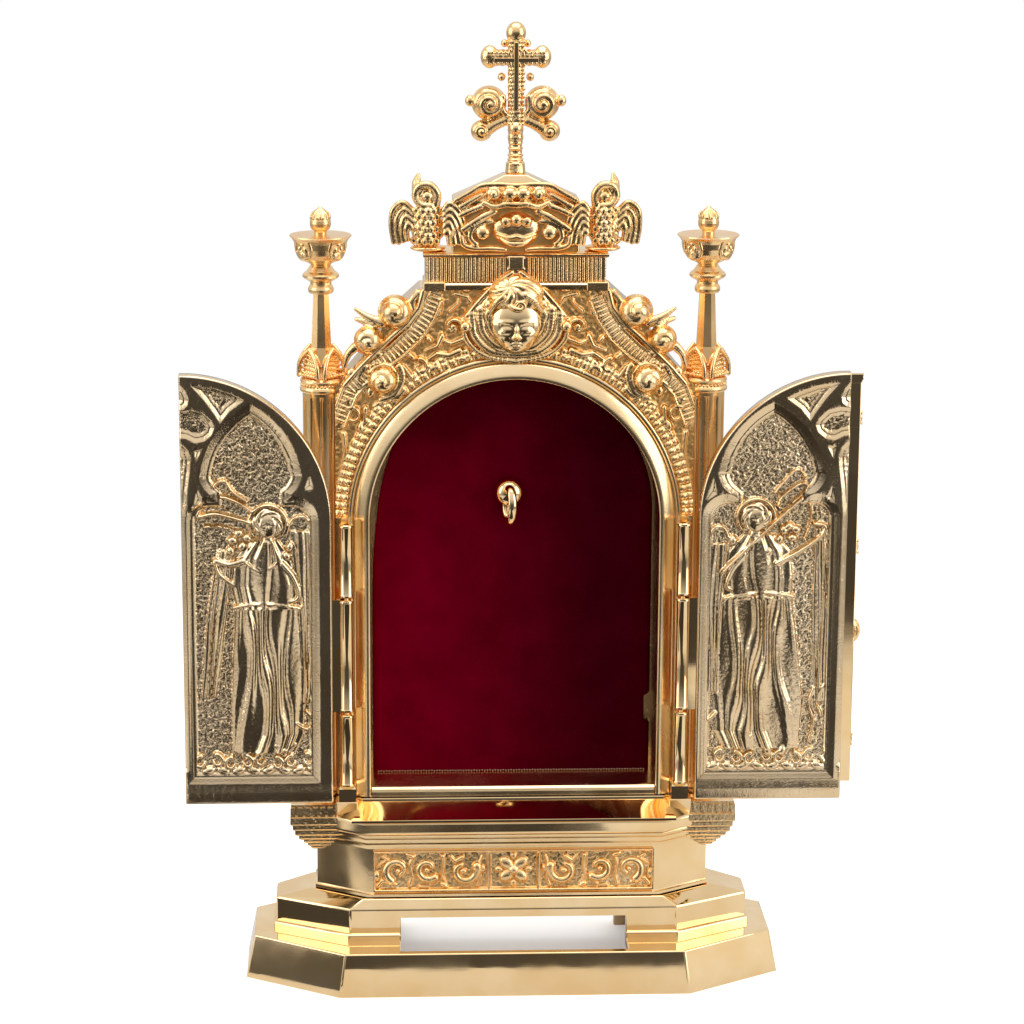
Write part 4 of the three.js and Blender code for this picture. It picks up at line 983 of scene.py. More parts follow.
for side, label in SIDES:
    bm = bmesh.new()
    for x, z, radius, y, start in CROCKETS:
        snail(bm, (side * x, y, z), radius, start, side)
        rope(bm, [(side * (x - radius), y + 2.4, z - radius),
                  (side * (x - radius * 0.2), y + 1.8, z - radius * 1.05),
                  (side * (x + radius * 0.8), y + 1.8, z - radius * 0.65)], 1.1, 0.8)
    for path, root, tip in LEAF_TIPS:
        rope(bm, [(side * x, y, z) for x, y, z in path], root, tip)
    for (x, y, z), radii in BERRIES:
        ball(bm, (side * x, y, z), radii)
    bm = cast_together(bm, 0.2, rounds=1)
    settle(f"crockets_{label}", bm, relief_gilt, "shrine", "cast_gilt", "niche_front", crease=180, share=0.5)

# ---------------------------------------------------------------- crown
# A small hipped roof over the frieze that carries the cross. Its face is filled with strapwork: a bowed
# cap over a berry and a curved lip scroll, with a curling leaf on each side.
CROWN_COURSES = [(16.2, -6.6, 3.4, 192.3), (15.6, -6.6, 3.4, 204.4), (15.9, -7.6, 4.0, 204.9),
                 (15.9, -7.6, 4.0, 205.7), (2.9, -4.6, 0.8, 211.9)]

bm = bmesh.new()
raise_plan(bm, [oblong(-half, half, front, back, z) for half, front, back, z in CROWN_COURSES])
soften(bm, 0.4, above=12)
settle("crown_roof", bm, bright_gilt, "shrine", "cast_gilt", "niche_front", filed=True)

# Painted bounce light: the ground behind the strapwork is given a deep amber gold, a painted stand-in for
# light bounced in the recess
recess_glow_gilt = gilt("recess_glow_gilt", skin, 0.08,
                  gold={"Pale": (0.96, 0.6, 0.25, 1), "Warm": (0.93, 0.5, 0.15, 1)},
                  Grain=1500.0, Low=0.3, High=0.45)
bm = bmesh.new()
block(bm, -15.5, 15.5, -7.2, -6.2, 192.4, 204.5)
settle("crown_ground", bm, recess_glow_gilt, "shrine", "cast_gilt", "niche_front", filed=True)

bm = bmesh.new()
ball(bm, (0, -7.0, 198.2), (6.0, 2.2, 4.6), detail=4)
ball(bm, (0, -7.2, 206.6), (8.4, 1.5, 2.6), detail=4)
ball(bm, (-1.7, -9.5, 207.7), (2.0, 1.6, 1.7))
rope(bm, [(0, -9.7, 204.9), (-2.6, -9.6, 205.0), (-5.6, -8.8, 204.3), (-8.2, -8.0, 205.2)], 1.0, 0.7)
snail(bm, (-5.6, -8.4, 207.6), 2.1, 60, -1, groove=0.3, winds=1.1)
rope(bm, [(-15.2, -7.8, 205.8), (-11.6, -8.2, 207.9), (-8.6, -8.4, 209.6), (-4.4, -8.6, 209.9),
          (0, -8.8, 209.6)], 0.75)
rope(bm, [(-13.8, -7.6, 204.2), (-11.2, -8.0, 205.8), (-8.8, -8.2, 207.2)], 1.0, 0.6)
ball(bm, (0, -9.4, 201.2), (1.6, 1.8, 1.7))
ball(bm, (-2.7, -8.9, 200.6), (1.3, 1.2, 1.4))
rope(bm, [(0, -9.9, 196.8), (-2.0, -9.7, 196.5), (-4.9, -8.5, 197.3)], 0.65, 0.35)
rope(bm, [(0, -9.7, 194.9), (-1.9, -9.4, 195.1), (-3.8, -8.3, 196.1)], 0.85, 0.4)
rope(bm, [(-5.6, -7.6, 202.9), (-9.2, -8.2, 201.2), (-13.4, -7.9, 198.4)], 1.15, 0.9)
rope(bm, [(-8.9, -7.8, 204.2), (-11.4, -8.0, 203.3), (-14.0, -7.7, 202.0)], 0.95, 0.8)
rope(bm, [(-6.2, -7.6, 200.4), (-8.4, -7.9, 200.2), (-10.9, -7.9, 198.8), (-11.6, -7.8, 196.4),
          (-10.2, -7.8, 194.7)], 0.8, 0.9)
ball(bm, (-8.4, -8.0, 197.6), (1.9, 1.5, 1.9))
rope(bm, [(-13.8, -7.4, 196.4), (-13.2, -7.7, 194.4), (-10.4, -7.8, 193.5), (-6.4, -7.9, 193.5),
          (-2.8, -8.2, 193.3)], 0.8, 0.65)
bm = cast_together(bm, 0.2, rounds=1, mirror=True)
settle("crown_strapwork", bm, relief_gilt, "shrine", "cast_gilt", "niche_front", crease=180, share=0.6)

# ---------------------------------------------------------------- winged creatures
# A hooded bird sits at each end of the frieze with its feathered wings half spread to both sides.
# Small castings soldered on; the chest is chased with scale-like feathers.
INNER_WING = [
    [(18.2, 203.2), (16.8, 204.9), (14.6, 203.2), (12.8, 199.0), (11.7, 194.8)],
    [(18.1, 201.9), (16.7, 203.3), (15.1, 201.6), (13.7, 198.0), (13.0, 194.8)],
    [(18.0, 200.5), (16.8, 201.7), (15.7, 200.0), (14.8, 197.4), (14.3, 194.8)],
    [(18.0, 199.1), (17.1, 200.1), (16.4, 198.6), (15.9, 196.8), (15.6, 194.8)],
    [(17.9, 197.6), (17.4, 198.2), (17.1, 197.0), (16.9, 194.8)],
]
OUTER_WING = [
    [(26.0, 202.8), (28.6, 204.9), (31.0, 203.0), (31.5, 199.0), (30.9, 194.8)],
    [(26.2, 201.6), (28.2, 203.2), (29.8, 201.4), (30.1, 198.0), (29.6, 194.7)],
    [(26.2, 200.2), (27.8, 201.4), (28.7, 199.6), (28.8, 197.0), (28.4, 195.2)],
    [(26.4, 198.6), (27.2, 199.6), (27.6, 198.0), (27.4, 195.6)],
]
for side, label in SIDES:
    bm = bmesh.new()
    ball(bm, (22.4, -4.4, 198.4), (4.1, 3.8, 5.6), detail=4)
    ball(bm, (22.4, -4.8, 201.6), (3.7, 3.4, 3.4), detail=4)
    for row in range(6):
        for place in range(5):
            spread = (place - 2 + (row % 2) * 0.5) * 1.5
            ball(bm, (22.2 + spread, -8.1 + 0.2 * spread ** 2, 203.0 - row * 1.55), (0.9, 0.75, 1.05),
                 lean=(20, 0, 25 * math.sin(row * 2.0 + place)))
    rope(bm, [(20.2, -6.8, 204.6), (20.0, -7.4, 207.4), (21.8, -7.6, 209.6), (24.4, -7.0, 209.2),
              (25.4, -6.6, 206.8), (24.0, -7.2, 204.6), (21.6, -7.5, 204.3)], 1.15, 1.0)
    ball(bm, (22.7, -5.2, 207.0), (2.8, 2.4, 2.8))
    ball(bm, (22.4, -7.2, 206.7), (1.5, 1.3, 1.5))
    rope(bm, [(24.4, -5.6, 208.0), (25.0, -5.2, 210.0), (24.5, -5.0, 212.2)], 2.0, 0.4)
    for wing, front in ((INNER_WING, -7.4), (OUTER_WING, -5.6)):
        for feather, path in enumerate(wing):
            rope(bm, [(x, front - 0.25 * feather + 0.5 * (point > 2), z)
                      for point, (x, z) in enumerate(path)], 0.85, 0.7)
        middle = wing[1][2]
        ball(bm, (middle[0], front + 0.9, middle[1] - 2.0), (2.1, 0.7, 4.6), detail=4)
    ball(bm, (22.2, -4.8, 193.3), (4.6, 3.6, 1.0))
    bmesh.ops.scale(bm, vec=(side, 1, 1), verts=bm.verts)
    bm = cast_together(bm, 0.2)
    settle(f"bird_{label}", bm, relief_gilt, "shrine", "cast_gilt", "niche_front", crease=180, share=0.58)

# ---------------------------------------------------------------- hinges
# Barrel hinges: the outer two knuckles belong to the frame, the long middle one to the door, and a
# plain pin runs through all three. Turned brass with rounded lips, polished.
HINGE = {"x": 43.4, "y": -13.6, "radius": 1.9, "low": (53.4, 72.9), "middle": (73.6, 103.5),
         "high": (104.2, 123.4)}


def knuckle(bm, x, z0, z1, radius=HINGE["radius"]):
    """A turned barrel with a narrow lip at both ends."""
    section = [(0, z0), (radius - 0.3, z0), (radius - 0.05, z0 + 0.2), (radius, z0 + 0.6),
               (radius - 0.15, z0 + 0.9), (radius - 0.15, z1 - 0.9), (radius, z1 - 0.6),
               (radius - 0.05, z1 - 0.2), (radius - 0.3, z1), (0, z1)]
    profile = [bm.verts.new((x + r, HINGE["y"], z)) for r, z in section]
    edges = [bm.edges.new(pair) for pair in zip(profile, profile[1:])]
    bmesh.ops.spin(bm, geom=profile + edges, cent=(x, HINGE["y"], 0), axis=(0, 0, 1), angle=2 * math.pi,
                   steps=32, use_merge=True)
    bmesh.ops.remove_doubles(bm, verts=bm.verts, dist=0.002)


for side, label in SIDES:
    x = side * HINGE["x"]
    bm = bmesh.new()
    for z0, z1 in (HINGE["low"], HINGE["high"]):
        knuckle(bm, x, z0, z1)
        block(bm, x - 1.3, x + 1.3, -12.6, -7, z0 + 0.1, z1 - 0.1)
    raise_plan(bm, [oblong(x - 2.2, x + 2.2, -14.2, -7, 49.3), oblong(x - 2.2, x + 2.2, -14.2, -7, 52.5),
                    oblong(x - 1.9, x + 1.9, -13.8, -7, 53.1)])
    bmesh.ops.recalc_face_normals(bm, faces=bm.faces)
    settle(f"{label}_hinge_frame", bm, mirror_gilt, "shrine", "cast_gilt", "niche_front")

# ---------------------------------------------------------------- back plate
# A thin brass sheet soldered behind the niche to close it. Rolled stock, left plain on both sides.
bm = copy_of("back_plate")
soften(bm, 0.25, above=40)
settle("back_plate_dressed", bm, cast_gilt, "shrine", "cast_gilt", "back_plate", filed=True)

# ---------------------------------------------------------------- velvet
# Silk velvet stretched over a thin board and glued behind it. The deep red pile swallows light when seen
# square on and has a faint sheen; its colour is painted lighter at the left and darker towards the right and
# the top of the arch, as painted light and shade. Pale backing threads show along its bottom edge.
VELVET = {"front": 1.9, "back": 4.4, "half": 36.6, "bottom": 52.0, "notch": (64.8, 73.2, 1.6), "wrap": 1.5}


def arched_place(half, bottom, spring, last=1.52):
    """Net over a round-headed board: even rows up the straight part, then even angles over the arch."""
    straight = (spring - bottom) / (spring - bottom + half * last)

    def place(s, t):
        angle = np.clip((t - straight) / (1 - straight), 0, 1) * last
        z = bottom + np.clip(t / straight, 0, 1) * (spring - bottom) + half * np.sin(angle)
        return (2 * s - 1) * half * np.cos(angle), z
    return place


def velvet_place(s, t):
    x, z = arched_place(VELVET["half"], VELVET["bottom"], FRAME["spring"])(s, t)
    low, high, depth = VELVET["notch"]
    bite = np.clip((z - low) / 0.5, 0, 1) * np.clip((high - z) / 0.5, 0, 1) * depth
    shy = 1.9 * np.exp(-((z - 131) / 15) ** 2) * np.clip((-x - 20) / 12, 0, 1)
    return np.where(x > 30, 30 + (x - 30) * (1 - bite / (VELVET["half"] - 30)), x + shy), z


def velvet_lie(x, z):
    rise = np.maximum(z - FRAME["spring"], 0)
    edge = VELVET["half"] - np.hypot(x, rise)
    wrapped = np.sqrt(np.clip(1 - (1 - np.clip(edge / VELVET["wrap"], 0, 1)) ** 2, 0, 1))
    lie = 0.1 * matting(x, z, 14, 31) + 0.035 * matting(x, z, 1.3, 32)
    return (wrapped - 1) * 1.1 + lie * np.clip(edge / 2, 0, 1)


pile, tree, shader = new_material("velvet_pile", Specular_IOR_Level=0.0, Sheen_Roughness=0.35,
                                  Sheen_Tint=(0.75, 0.02, 0.07, 1.0))
coordinates = node(tree, "TexCoord").outputs["Object"]
nap = noise(tree, coordinates, 95.0, 3.0, 0.55)
tuft = noise(tree, coordinates, 2600.0, 2.0, 0.6)
axes = node(tree, "SeparateXYZ", Vector=coordinates)
# Painted light and shade: the colour is lighter at the left of the niche and darker towards the right and
# under the crown of the arch
painted_shade_right = eased(tree, axes.outputs["X"], -0.036, 0.024)
high = eased(tree, axes.outputs["Z"], 0.118, 0.158, 0.75)
painted_light_and_shade = combine(tree, "MAXIMUM", painted_shade_right, high)
pale_nap_painted_shade = blended(tree, painted_light_and_shade, (0.165, 0.0, 0.0105), (0.046, 0.0004, 0.0042))
deep_nap_painted_shade = blended(tree, painted_light_and_shade, (0.115, 0.0, 0.0065), (0.032, 0.0002, 0.0026))
nap_tone_and_painted_shade = blended(tree, spread_over(tree, nap, 0.0, 1.0, 0.3, 0.7), deep_nap_painted_shade, pale_nap_painted_shade)
fill(tree, shader, Base_Color=nap_tone_and_painted_shade, Roughness=spread_over(tree, nap, 0.86, 1.0, 0.2, 0.8),
     Sheen_Weight=spread_over(tree, nap, 0.05, 0.13, 0.2, 0.8),
     Normal=node(tree, "Bump", Distance=0.12 * MM, Height=tuft).outputs["Normal"])

bm = relief_slab(150, 210, velvet_place, velvet_lie, VELVET["front"] + 0.25, VELVET["back"])
velvet_cloth = settle("velvet_cloth", bm, pile, "shrine", "velvet", "velvet_board", crease=180)

thread_pale, tree, shader = new_material("backing_thread")
grain = noise(tree, node(tree, "TexCoord").outputs["Object"], 1400.0, 2.0)
fill(tree, shader, Base_Color=blended(tree, grain, (0.42, 0.20, 0.12), (0.62, 0.40, 0.27)),
     Roughness=spread_over(tree, grain, 0.6, 0.85))

bm = bmesh.new()
for stitch in range(101):
    ball(bm, (-35.2 + 0.704 * stitch, 1.72, 52.3 + 0.06 * math.sin(stitch * 2.3)), (0.2, 0.24, 0.22),
         detail=1)
settle("velvet_selvedge", bm, thread_pale, "shrine", "velvet", crease=180)

# ---------------------------------------------------------------- relic hook
# A domed boss on the velvet, with a plain wire ring that hangs nearly edge-on from it.
BOSS = {"centre": (-1, 1.55, 128), "radii": (3.9, 3.1, 3.9)}
WIRE_RING = {"centre": (-1, -2.3, 125.4), "radius": 4.3, "wire": 1.15, "narrow": 0.62, "turn": 0.26}

bm = bmesh.new()
bmesh.ops.create_icosphere(bm, subdivisions=5, radius=1)
bmesh.ops.scale(bm, vec=BOSS["radii"], verts=bm.verts)
bmesh.ops.bisect_plane(bm, geom=bm.verts[:] + bm.edges[:] + bm.faces[:], plane_co=(0, 0.1, 0),
                       plane_no=(0, 1, 0), clear_outer=True)
bmesh.ops.edgeloop_fill(bm, edges=[edge for edge in bm.edges if edge.is_boundary])
bmesh.ops.translate(bm, vec=BOSS["centre"], verts=bm.verts)
settle("hook_boss", bm, mirror_gilt, "shrine", "cast_gilt", "relic_hook", crease=40)

bm = bmesh.new()
top = (0, 0, WIRE_RING["radius"])
wire = bmesh.ops.create_circle(bm, segments=20, radius=WIRE_RING["wire"],
                               matrix=Matrix.Translation(top))["verts"]
for axis in "YZ":
    bmesh.ops.rotate(bm, verts=wire, cent=top, matrix=Matrix.Rotation(math.pi / 2, 3, axis))
bmesh.ops.spin(bm, geom=wire + bm.edges[:], cent=(0, 0, 0), axis=(1, 0, 0), angle=2 * math.pi, steps=48,
               use_merge=True)
bmesh.ops.scale(bm, vec=(1, WIRE_RING["narrow"], 1), verts=bm.verts)
bmesh.ops.rotate(bm, verts=bm.verts, cent=(0, 0, 0), matrix=Matrix.Rotation(WIRE_RING["turn"], 3, "Z"))
bmesh.ops.translate(bm, vec=WIRE_RING["centre"], verts=bm.verts)
bmesh.ops.recalc_face_normals(bm, faces=bm.faces)
settle("hook_ring", bm, mirror_gilt, "shrine", "cast_gilt", "relic_hook", crease=60)

# ---------------------------------------------------------------- columns
# Twelve-fluted shafts on dentilled bases. Above each ring four hatched gables gather round an octagonal
# spire with two collars, a leaf cup and a bud. Turned brass; the gables and leaves are cast on.
COLUMN = {"x": 49.4, "y": -2, "radius": 4.9, "flutes": 12, "flute": 0.62, "bottom": 44.5}
BASE_RINGS = [(46.4, 5.7), (46.7, 5.9), (47.2, 5.9), (47.6, 5.5), (47.9, 5.2), (48.2, 5.3), (48.6, 5.5),
              (49.0, 5.3), (49.1, 4.9)]
SPIRE = [
    (155.8, 4.9, 0), (155.9, 5.3, 0), (156.2, 5.55, 0), (156.7, 5.6, 0), (157.2, 5.4, 0), (157.6, 5.1, 0),
    (157.9, 5.1, 0), (158.2, 5.3, 0), (158.7, 5.5, 0), (159.1, 5.4, 0), (159.5, 5.0, 0), (159.8, 4.4, 0),
    (161, 4.2, 1), (164, 3.5, 1), (167.4, 2.75, 1), (172, 2.5, 1), (181.2, 2.1, 1), (181.3, 2.9, 0),
    (181.7, 3.2, 0), (182.4, 3.3, 0), (183, 3.1, 0), (183.6, 2.7, 0), (184.2, 2.7, 0), (184.6, 3.3, 0),
    (185.1, 4.2, 0), (185.6, 4.65, 0), (186.1, 4.65, 0), (186.6, 4.2, 0), (187.0, 3.6, 0), (187.6, 3.2, 0),
    (188.1, 2.9, 0), (188.6, 2.5, 0), (189.0, 2.9, 0), (189.6, 4.2, 0), (190.4, 5.3, 0), (191.6, 6.2, 0),
    (193, 6.6, 0), (194.4, 6.7, 0), (195.3, 7.2, 0), (196.0, 7.9, 0), (196.25, 7.8, 0), (196.0, 5.6, 0),
    (195.8, 1.9, 0), (196.2, 1.6, 0), (197, 1.6, 0), (197.4, 1.8, 0), (197.7, 2.3, 0), (198.4, 2.6, 0),
    (199.2, 2.7, 0), (199.9, 2.6, 0), (200.3, 2.5, 0), (200.8, 2.5, 0), (201.6, 2.0, 0), (202.4, 1.3, 0),
    (203.1, 0.6, 0), (203.6, 0.15, 0),
]


def turned_ring(z, radius, eight=0.0, flute=0.0, points=96):
    """A ring of the column: round, eight-sided or fluted."""
    ring = []
    for step in range(points):
        angle = 2 * math.pi * step / points
        side = (angle + math.pi / 8) % (math.pi / 4) - math.pi / 8
        flat = math.cos(math.pi / 8) / math.cos(side) if eight else 1.0
        groove = max(0.0, math.cos(COLUMN["flutes"] * angle) - 0.1) ** 0.6 * flute
        reach = radius * flat - groove
        x, y = COLUMN["x"] + reach * math.cos(angle), COLUMN["y"] + reach * math.sin(angle)
        ring.append(Vector((x, y, z)))
    return ring


def round_column(bm, angle):
    """Turns what has been built in front of the column's axis round it."""
    bmesh.ops.rotate(bm, verts=bm.verts, cent=(COLUMN["x"], COLUMN["y"], 0),
                     matrix=Matrix.Rotation(angle, 3, "Z"))


turned_gilt = gilt("turned_gilt", buffing, 0.04, gold=CAST_GOLD, Dull=0.34, Bright=0.2, Wave=0.8,
                   Hairline=0.1)
for side, label in SIDES:
    x, y, foot_z = COLUMN["x"], COLUMN["y"], COLUMN["bottom"]
    bm = bmesh.new()
    block(bm, x - 5.2, x + 5.2, y - 5.6, y + 5.6, foot_z, 46.9)
    for tooth in range(6):
        offset = (tooth - 2.5) * 1.9
        for x0, x1, y0, y1 in ((x + offset - 0.5, x + offset + 0.5, y - 6, y + 6),
                               (x - 5.6, x + 5.6, y + offset * 1.07 - 0.5, y + offset * 1.07 + 0.5)):
            block(bm, x0, x1, y0, y1, 44.9, 46.5)
    raise_plan(bm, [turned_ring(z, r) for z, r in BASE_RINGS])
    to_side(bm, side)
    settle(f"{label}_column_base", bm, turned_gilt, "shrine", "cast_gilt", f"{label}_column", crease=40)

    bm = bmesh.new()
    depth = COLUMN["flute"]
    raise_plan(bm, [turned_ring(z, COLUMN["radius"], 0, cut) for z, cut in (
        (48.9, 0), (50.2, 0), (50.5, depth * 0.7), (51.2, depth), (154.0, depth), (154.7, depth * 0.7),
        (155, 0), (156, 0))])
    to_side(bm, side)
    settle(f"{label}_column_shaft", bm, turned_gilt, "shrine", "cast_gilt", f"{label}_column", crease=50)

    bm = bmesh.new()
    raise_plan(bm, [turned_ring(z, r, eight) for z, r, eight in SPIRE])
    to_side(bm, side)
    settle(f"{label}_spire", bm, turned_gilt, "shrine", "cast_gilt", f"{label}_column", crease=35)

    bm = bmesh.new()
    for quarter in range(4):
        ahead = y - 4.7
        for flank in (-1, 1):
            rope(bm, [(x + flank * 3.5, ahead, 160.2), (x + flank * 3.2, ahead - 0.1, 163),
                      (x + flank * 1.9, ahead + 0.1, 165.4), (x, ahead + 0.5, 167.2)], 0.62, 0.55)
        for line in range(5):
            rise = 160.9 + line * 1.15
            reach = (2.7, 2.6, 2.4, 1.8, 1.0)[line]
            rope(bm, [(x - reach, ahead + 0.5, rise - 0.35), (x + reach, ahead + 0.5, rise + 0.35)], 0.33)
        rope(bm, [(x - 3.3, ahead, 160.4), (x + 3.3, ahead, 160.4)], 0.5)
        ball(bm, (x, ahead + 1.3, 162.8), (3.2, 0.75, 3.6))
        for bead in range(9):
            turn = math.radians(-45 + 11.25 * bead)
            ball(bm, (x + 5.15 * math.sin(turn), y - 5.15 * math.cos(turn), 157.75), 0.42, detail=2)
        ball(bm, (x, y - 5.6, 192.6), (2.3, 1.1, 2.6), lean=(-14, 0, 0))
        for flank in (-1, 1):
            rope(bm, [(x + flank * 2.2, y - 6.3, 195.2), (x + flank * 2.6, y - 5.9, 193),
                      (x + flank * 1.9, y - 5.7, 191.2), (x + flank * 0.5, y - 5.9, 190.7),
                      (x + flank * 0.2, y - 6.6, 192)], 0.55, 0.45)
            ball(bm, (x + flank * 0.95, y - 6.4, 193.2), (0.75, 0.6, 0.9))
        ball(bm, (x, y - 6.6, 194.4), (0.9, 0.6, 0.6))
        round_column(bm, math.pi / 2)
    round_column(bm, math.pi / 4)
    for petal in range(8):
        turn = math.radians(45 * petal)
        rope(bm, [(x + 2.2 * math.cos(turn), y + 2.2 * math.sin(turn), 200.4),
                  (x + 2.0 * math.cos(turn), y + 2.0 * math.sin(turn), 201.6), (x, y, 203.1)], 0.5, 0.3)
    bm = cast_together(bm, 0.16, rounds=1)
    to_side(bm, side)
    settle(f"{label}_pinnacle_leaves", bm, relief_gilt, "shrine", "cast_gilt", f"{label}_column",
           crease=180, share=0.38)

# ---------------------------------------------------------------- hinge pins
# Plain drawn wire, cut flush with the top knuckle.
for label in ("left", "right"):
    bm = copy_of(f"{label}_hinge_pin")
    settle(f"{label}_pin", bm, turned_gilt, "shrine", "cast_gilt", f"{label}_hinge_pin", crease=40)

# ---------------------------------------------------------------- cross
# A budded cross on a ringed neck: plain raised arms on a beaded cast cross, with a ball at each end and
# two pairs of snail-like scrolls about its foot. Cast in one piece and burnished.
CROSS = {"y": -2, "neck": 221, "arm": 241, "top": 245}

bm = bmesh.new()
y = CROSS["y"]
for z, r in ((212.4, 2.5), (213.2, 2.4), (214.4, 2.4)):
    ball(bm, (0, y, z), (r, r, 0.9))
bmesh.ops.create_cone(bm, cap_ends=True, segments=8, radius1=2.6, radius2=2.4, depth=2.6,
                      matrix=Matrix.Translation((0, y, 213.2)))
bmesh.ops.create_cone(bm, cap_ends=True, segments=24, radius1=1.75, radius2=1.6, depth=8,
                      matrix=Matrix.Translation((0, y, 218)))
for z, r in ((215.4, 2.1), (216.5, 2.1), (218.2, 2.0), (219.6, 1.9), (220.9, 1.9)):
    ball(bm, (0, y, z), (r, r, 0.55))
rope(bm, [(0, y, CROSS["neck"]), (0, y, 232), (0, y, CROSS["top"])], 2.1, 2.2)
rope(bm, [(x, y, CROSS["arm"]) for x in (-6, 0, 6)], 2.2)
for row in range(22):
    for place in (-1.5, -0.5, 0.5, 1.5):
        ball(bm, (place * 1.15 + (row % 2) * 0.3, y - 1.75, 224.5 + row * 0.98), (0.5, 0.45, 0.5), detail=1)
for step in range(14):
    for row in (-1.2, -0.3, 0.7, 1.5):
        ball(bm, (-7.0 + step * 1.08, y - 1.75, CROSS["arm"] + row), (0.5, 0.45, 0.5), detail=1)
ball(bm, (0, y, 247.2), (2.5, 2.3, 2.8), detail=4)
ball(bm, (0, y - 0.6, 223.4), (1.9, 2.2, 1.9), detail=4)
for side in (-1, 1):
    ball(bm, (side * 6.6, y, 241.2), (2.3, 2.1, 2.9), detail=4)
    ball(bm, (side * 3.6, y, 236.2), (1.0, 1.2, 1.1))
    ball(bm, (side * 2.9, y, 244.6), (0.9, 1.1, 1.0))
    snail(bm, (side * 6.7, y, 229.6), 4.4, 150 if side < 0 else 40, side, groove=0.3, winds=1.9)
    ball(bm, (side * 11.5, y, 230.2), (1.3, 1.3, 1.5))
    rope(bm, [(side * 2.2, y, 225.6), (side * 5, y, 224.4), (side * 7.4, y, 222.8)], 1.6, 1.8)
    snail(bm, (side * 8.6, y, 222.6), 2.7, 60, side, groove=0.22, winds=2.2)
    rope(bm, [(side * 2.0, y - 0.6, 226.4), (side * 3.4, y - 1.2, 228.2), (side * 3.2, y - 1.4, 231.4)],
         0.9, 0.7)
bm = cast_together(bm, 0.18, rounds=1)
settle("cross_body", bm, relief_gilt, "shrine", "cast_gilt", "cross", crease=180, share=0.5)

bm = bmesh.new()
block(bm, -0.62, 0.62, y - 2.45, y - 1.6, 228.1, 245.1)
block(bm, -5.7, 5.7, y - 2.4, y - 1.6, 240.1, 241.2)
soften(bm, 0.2, segments=2)
settle("cross_raised_arms", bm, mirror_gilt, "shrine", "cast_gilt", "cross", filed=True)

# ---------------------------------------------------------------- doors
# Two quarter-arched leaves. Each is cast with blind tracery: a lancet over a square-headed panel, small
# sunk triangles and half a quatrefoil cut by the free edge. An angel stands in the panel on a cloud; one
# blows a horn, the other plays a bowed string instrument. The borders are polished, the grounds matted
# with a punch.
DOOR = {"near": 47.1, "far": 85.3, "bottom": 49.4, "spring": 124.4, "front": -15.7, "back": -11.5,
        "middle": -13.2}
PANEL = {"bottom": 54.8, "shoulder": 131.2, "corner": 6.6, "foil": 13.0, "foil_z": 136.8}
LEFT_PANEL = {"middle": 17.8, "half": 17.1, "wide": 1.0, "worn": 0.05,
              "corners": [(32.7, 137.2), (33.9, 133.2), (31.3, 132.8)]}
RIGHT_PANEL = {"middle": 19.7, "half": 17.8, "wide": 1.07, "worn": 0.012,
               "corners": [(34.6, 136), (33.6, 131.4), (36.8, 129.3)]}
MOULDING = ([0, 0.3, 1.6, 1.75, 1.9, 2.6, 2.9], [0, -0.12, -0.5, -0.68, -0.56, -0.86, -1.3])
SUNK = ([0, 0.2, 0.95, 1.1, 1.25, 1.8, 2.1], [0, -0.1, -0.55, -0.68, -0.58, -0.85, -1.15])
SUNK_FIELDS = [
    [(16.6, 156.2), (13.4, 157.9), (8.4, 159.6), (2.9, 160.2), (6.2, 156.4), (8.6, 153), (10.3, 150.2),
     (12.8, 153.4)],
    [(4.2, 133.4), (5.9, 129.9), (3.0, 128.2)],
    [(3.4, 143.6), (5.9, 143.8), (4.0, 140.0)],
    [(-3, 160.9), (0.4, 160.2), (1.8, 158.6), (2.6, 156.6), (2.3, 154.9), (1.1, 153.9), (-3, 153.6)],
    [(-3, 153.3), (2.6, 153.9), (5.9, 153.1), (8.2, 150.9), (9.0, 149.2), (8.3, 147.3), (6.4, 145.7),
     (3.9, 145.2), (1.6, 146.4), (-3, 147)],
    [(-3, 145.1), (0.9, 144.6), (2.2, 143.2), (2.9, 141), (2.6, 137.6), (1.9, 132.6), (1.4, 126), (1.3, 58),
     (-3, 58)],
]
# Draperies and wings: edges as (z, u) pairs from the hem up, height, number of folds, depth of the folds
LEFT_DRAPES = [
    ([(78, 4.4), (100, 6.2), (117, 9.0)], [(78, 8.6), (100, 11.4), (117, 13.0)], 0.9, 3.5, 0.3),
    ([(76, 30.6), (100, 29.6), (122, 27.4)], [(76, 32.2), (100, 33.8), (122, 33.6)], 0.9, 2.5, 0.28),
    ([(63, 12.4), (80, 12.4), (102, 13.4)], [(63, 28.6), (68, 30.8), (80, 31.2), (102, 29.6)],
     1.45, 4.5, 0.5),
    ([(101.5, 13.8), (108, 12.6), (115, 13.4), (119.6, 17.6)],
     [(101.5, 29.4), (108, 29.4), (115, 27.8), (119.6, 24.8)],
     1.6, 4.0, 0.42),
]
RIGHT_DRAPES = [
    ([(76, 4.6), (100, 4.6), (122, 5.4)], [(76, 8.4), (100, 8.8), (122, 8.4)], 0.9, 2.5, 0.28),
    ([(78, 31.4), (100, 31.2), (118, 30.2)], [(78, 35.4), (100, 35.8), (118, 34.6)], 0.9, 3.0, 0.28),
    ([(63, 11.4), (76, 10.4), (104, 13.6)], [(63, 31), (68, 33.6), (80, 34.4), (104, 31.4)], 1.45, 5.0, 0.5),
    ([(103.5, 13.8), (109, 13.6), (116, 14.6), (120.6, 18.6)],
     [(103.5, 31.4), (109, 31.8), (116, 30.4), (120.6, 26.8)],
     1.6, 4.0, 0.42),
]
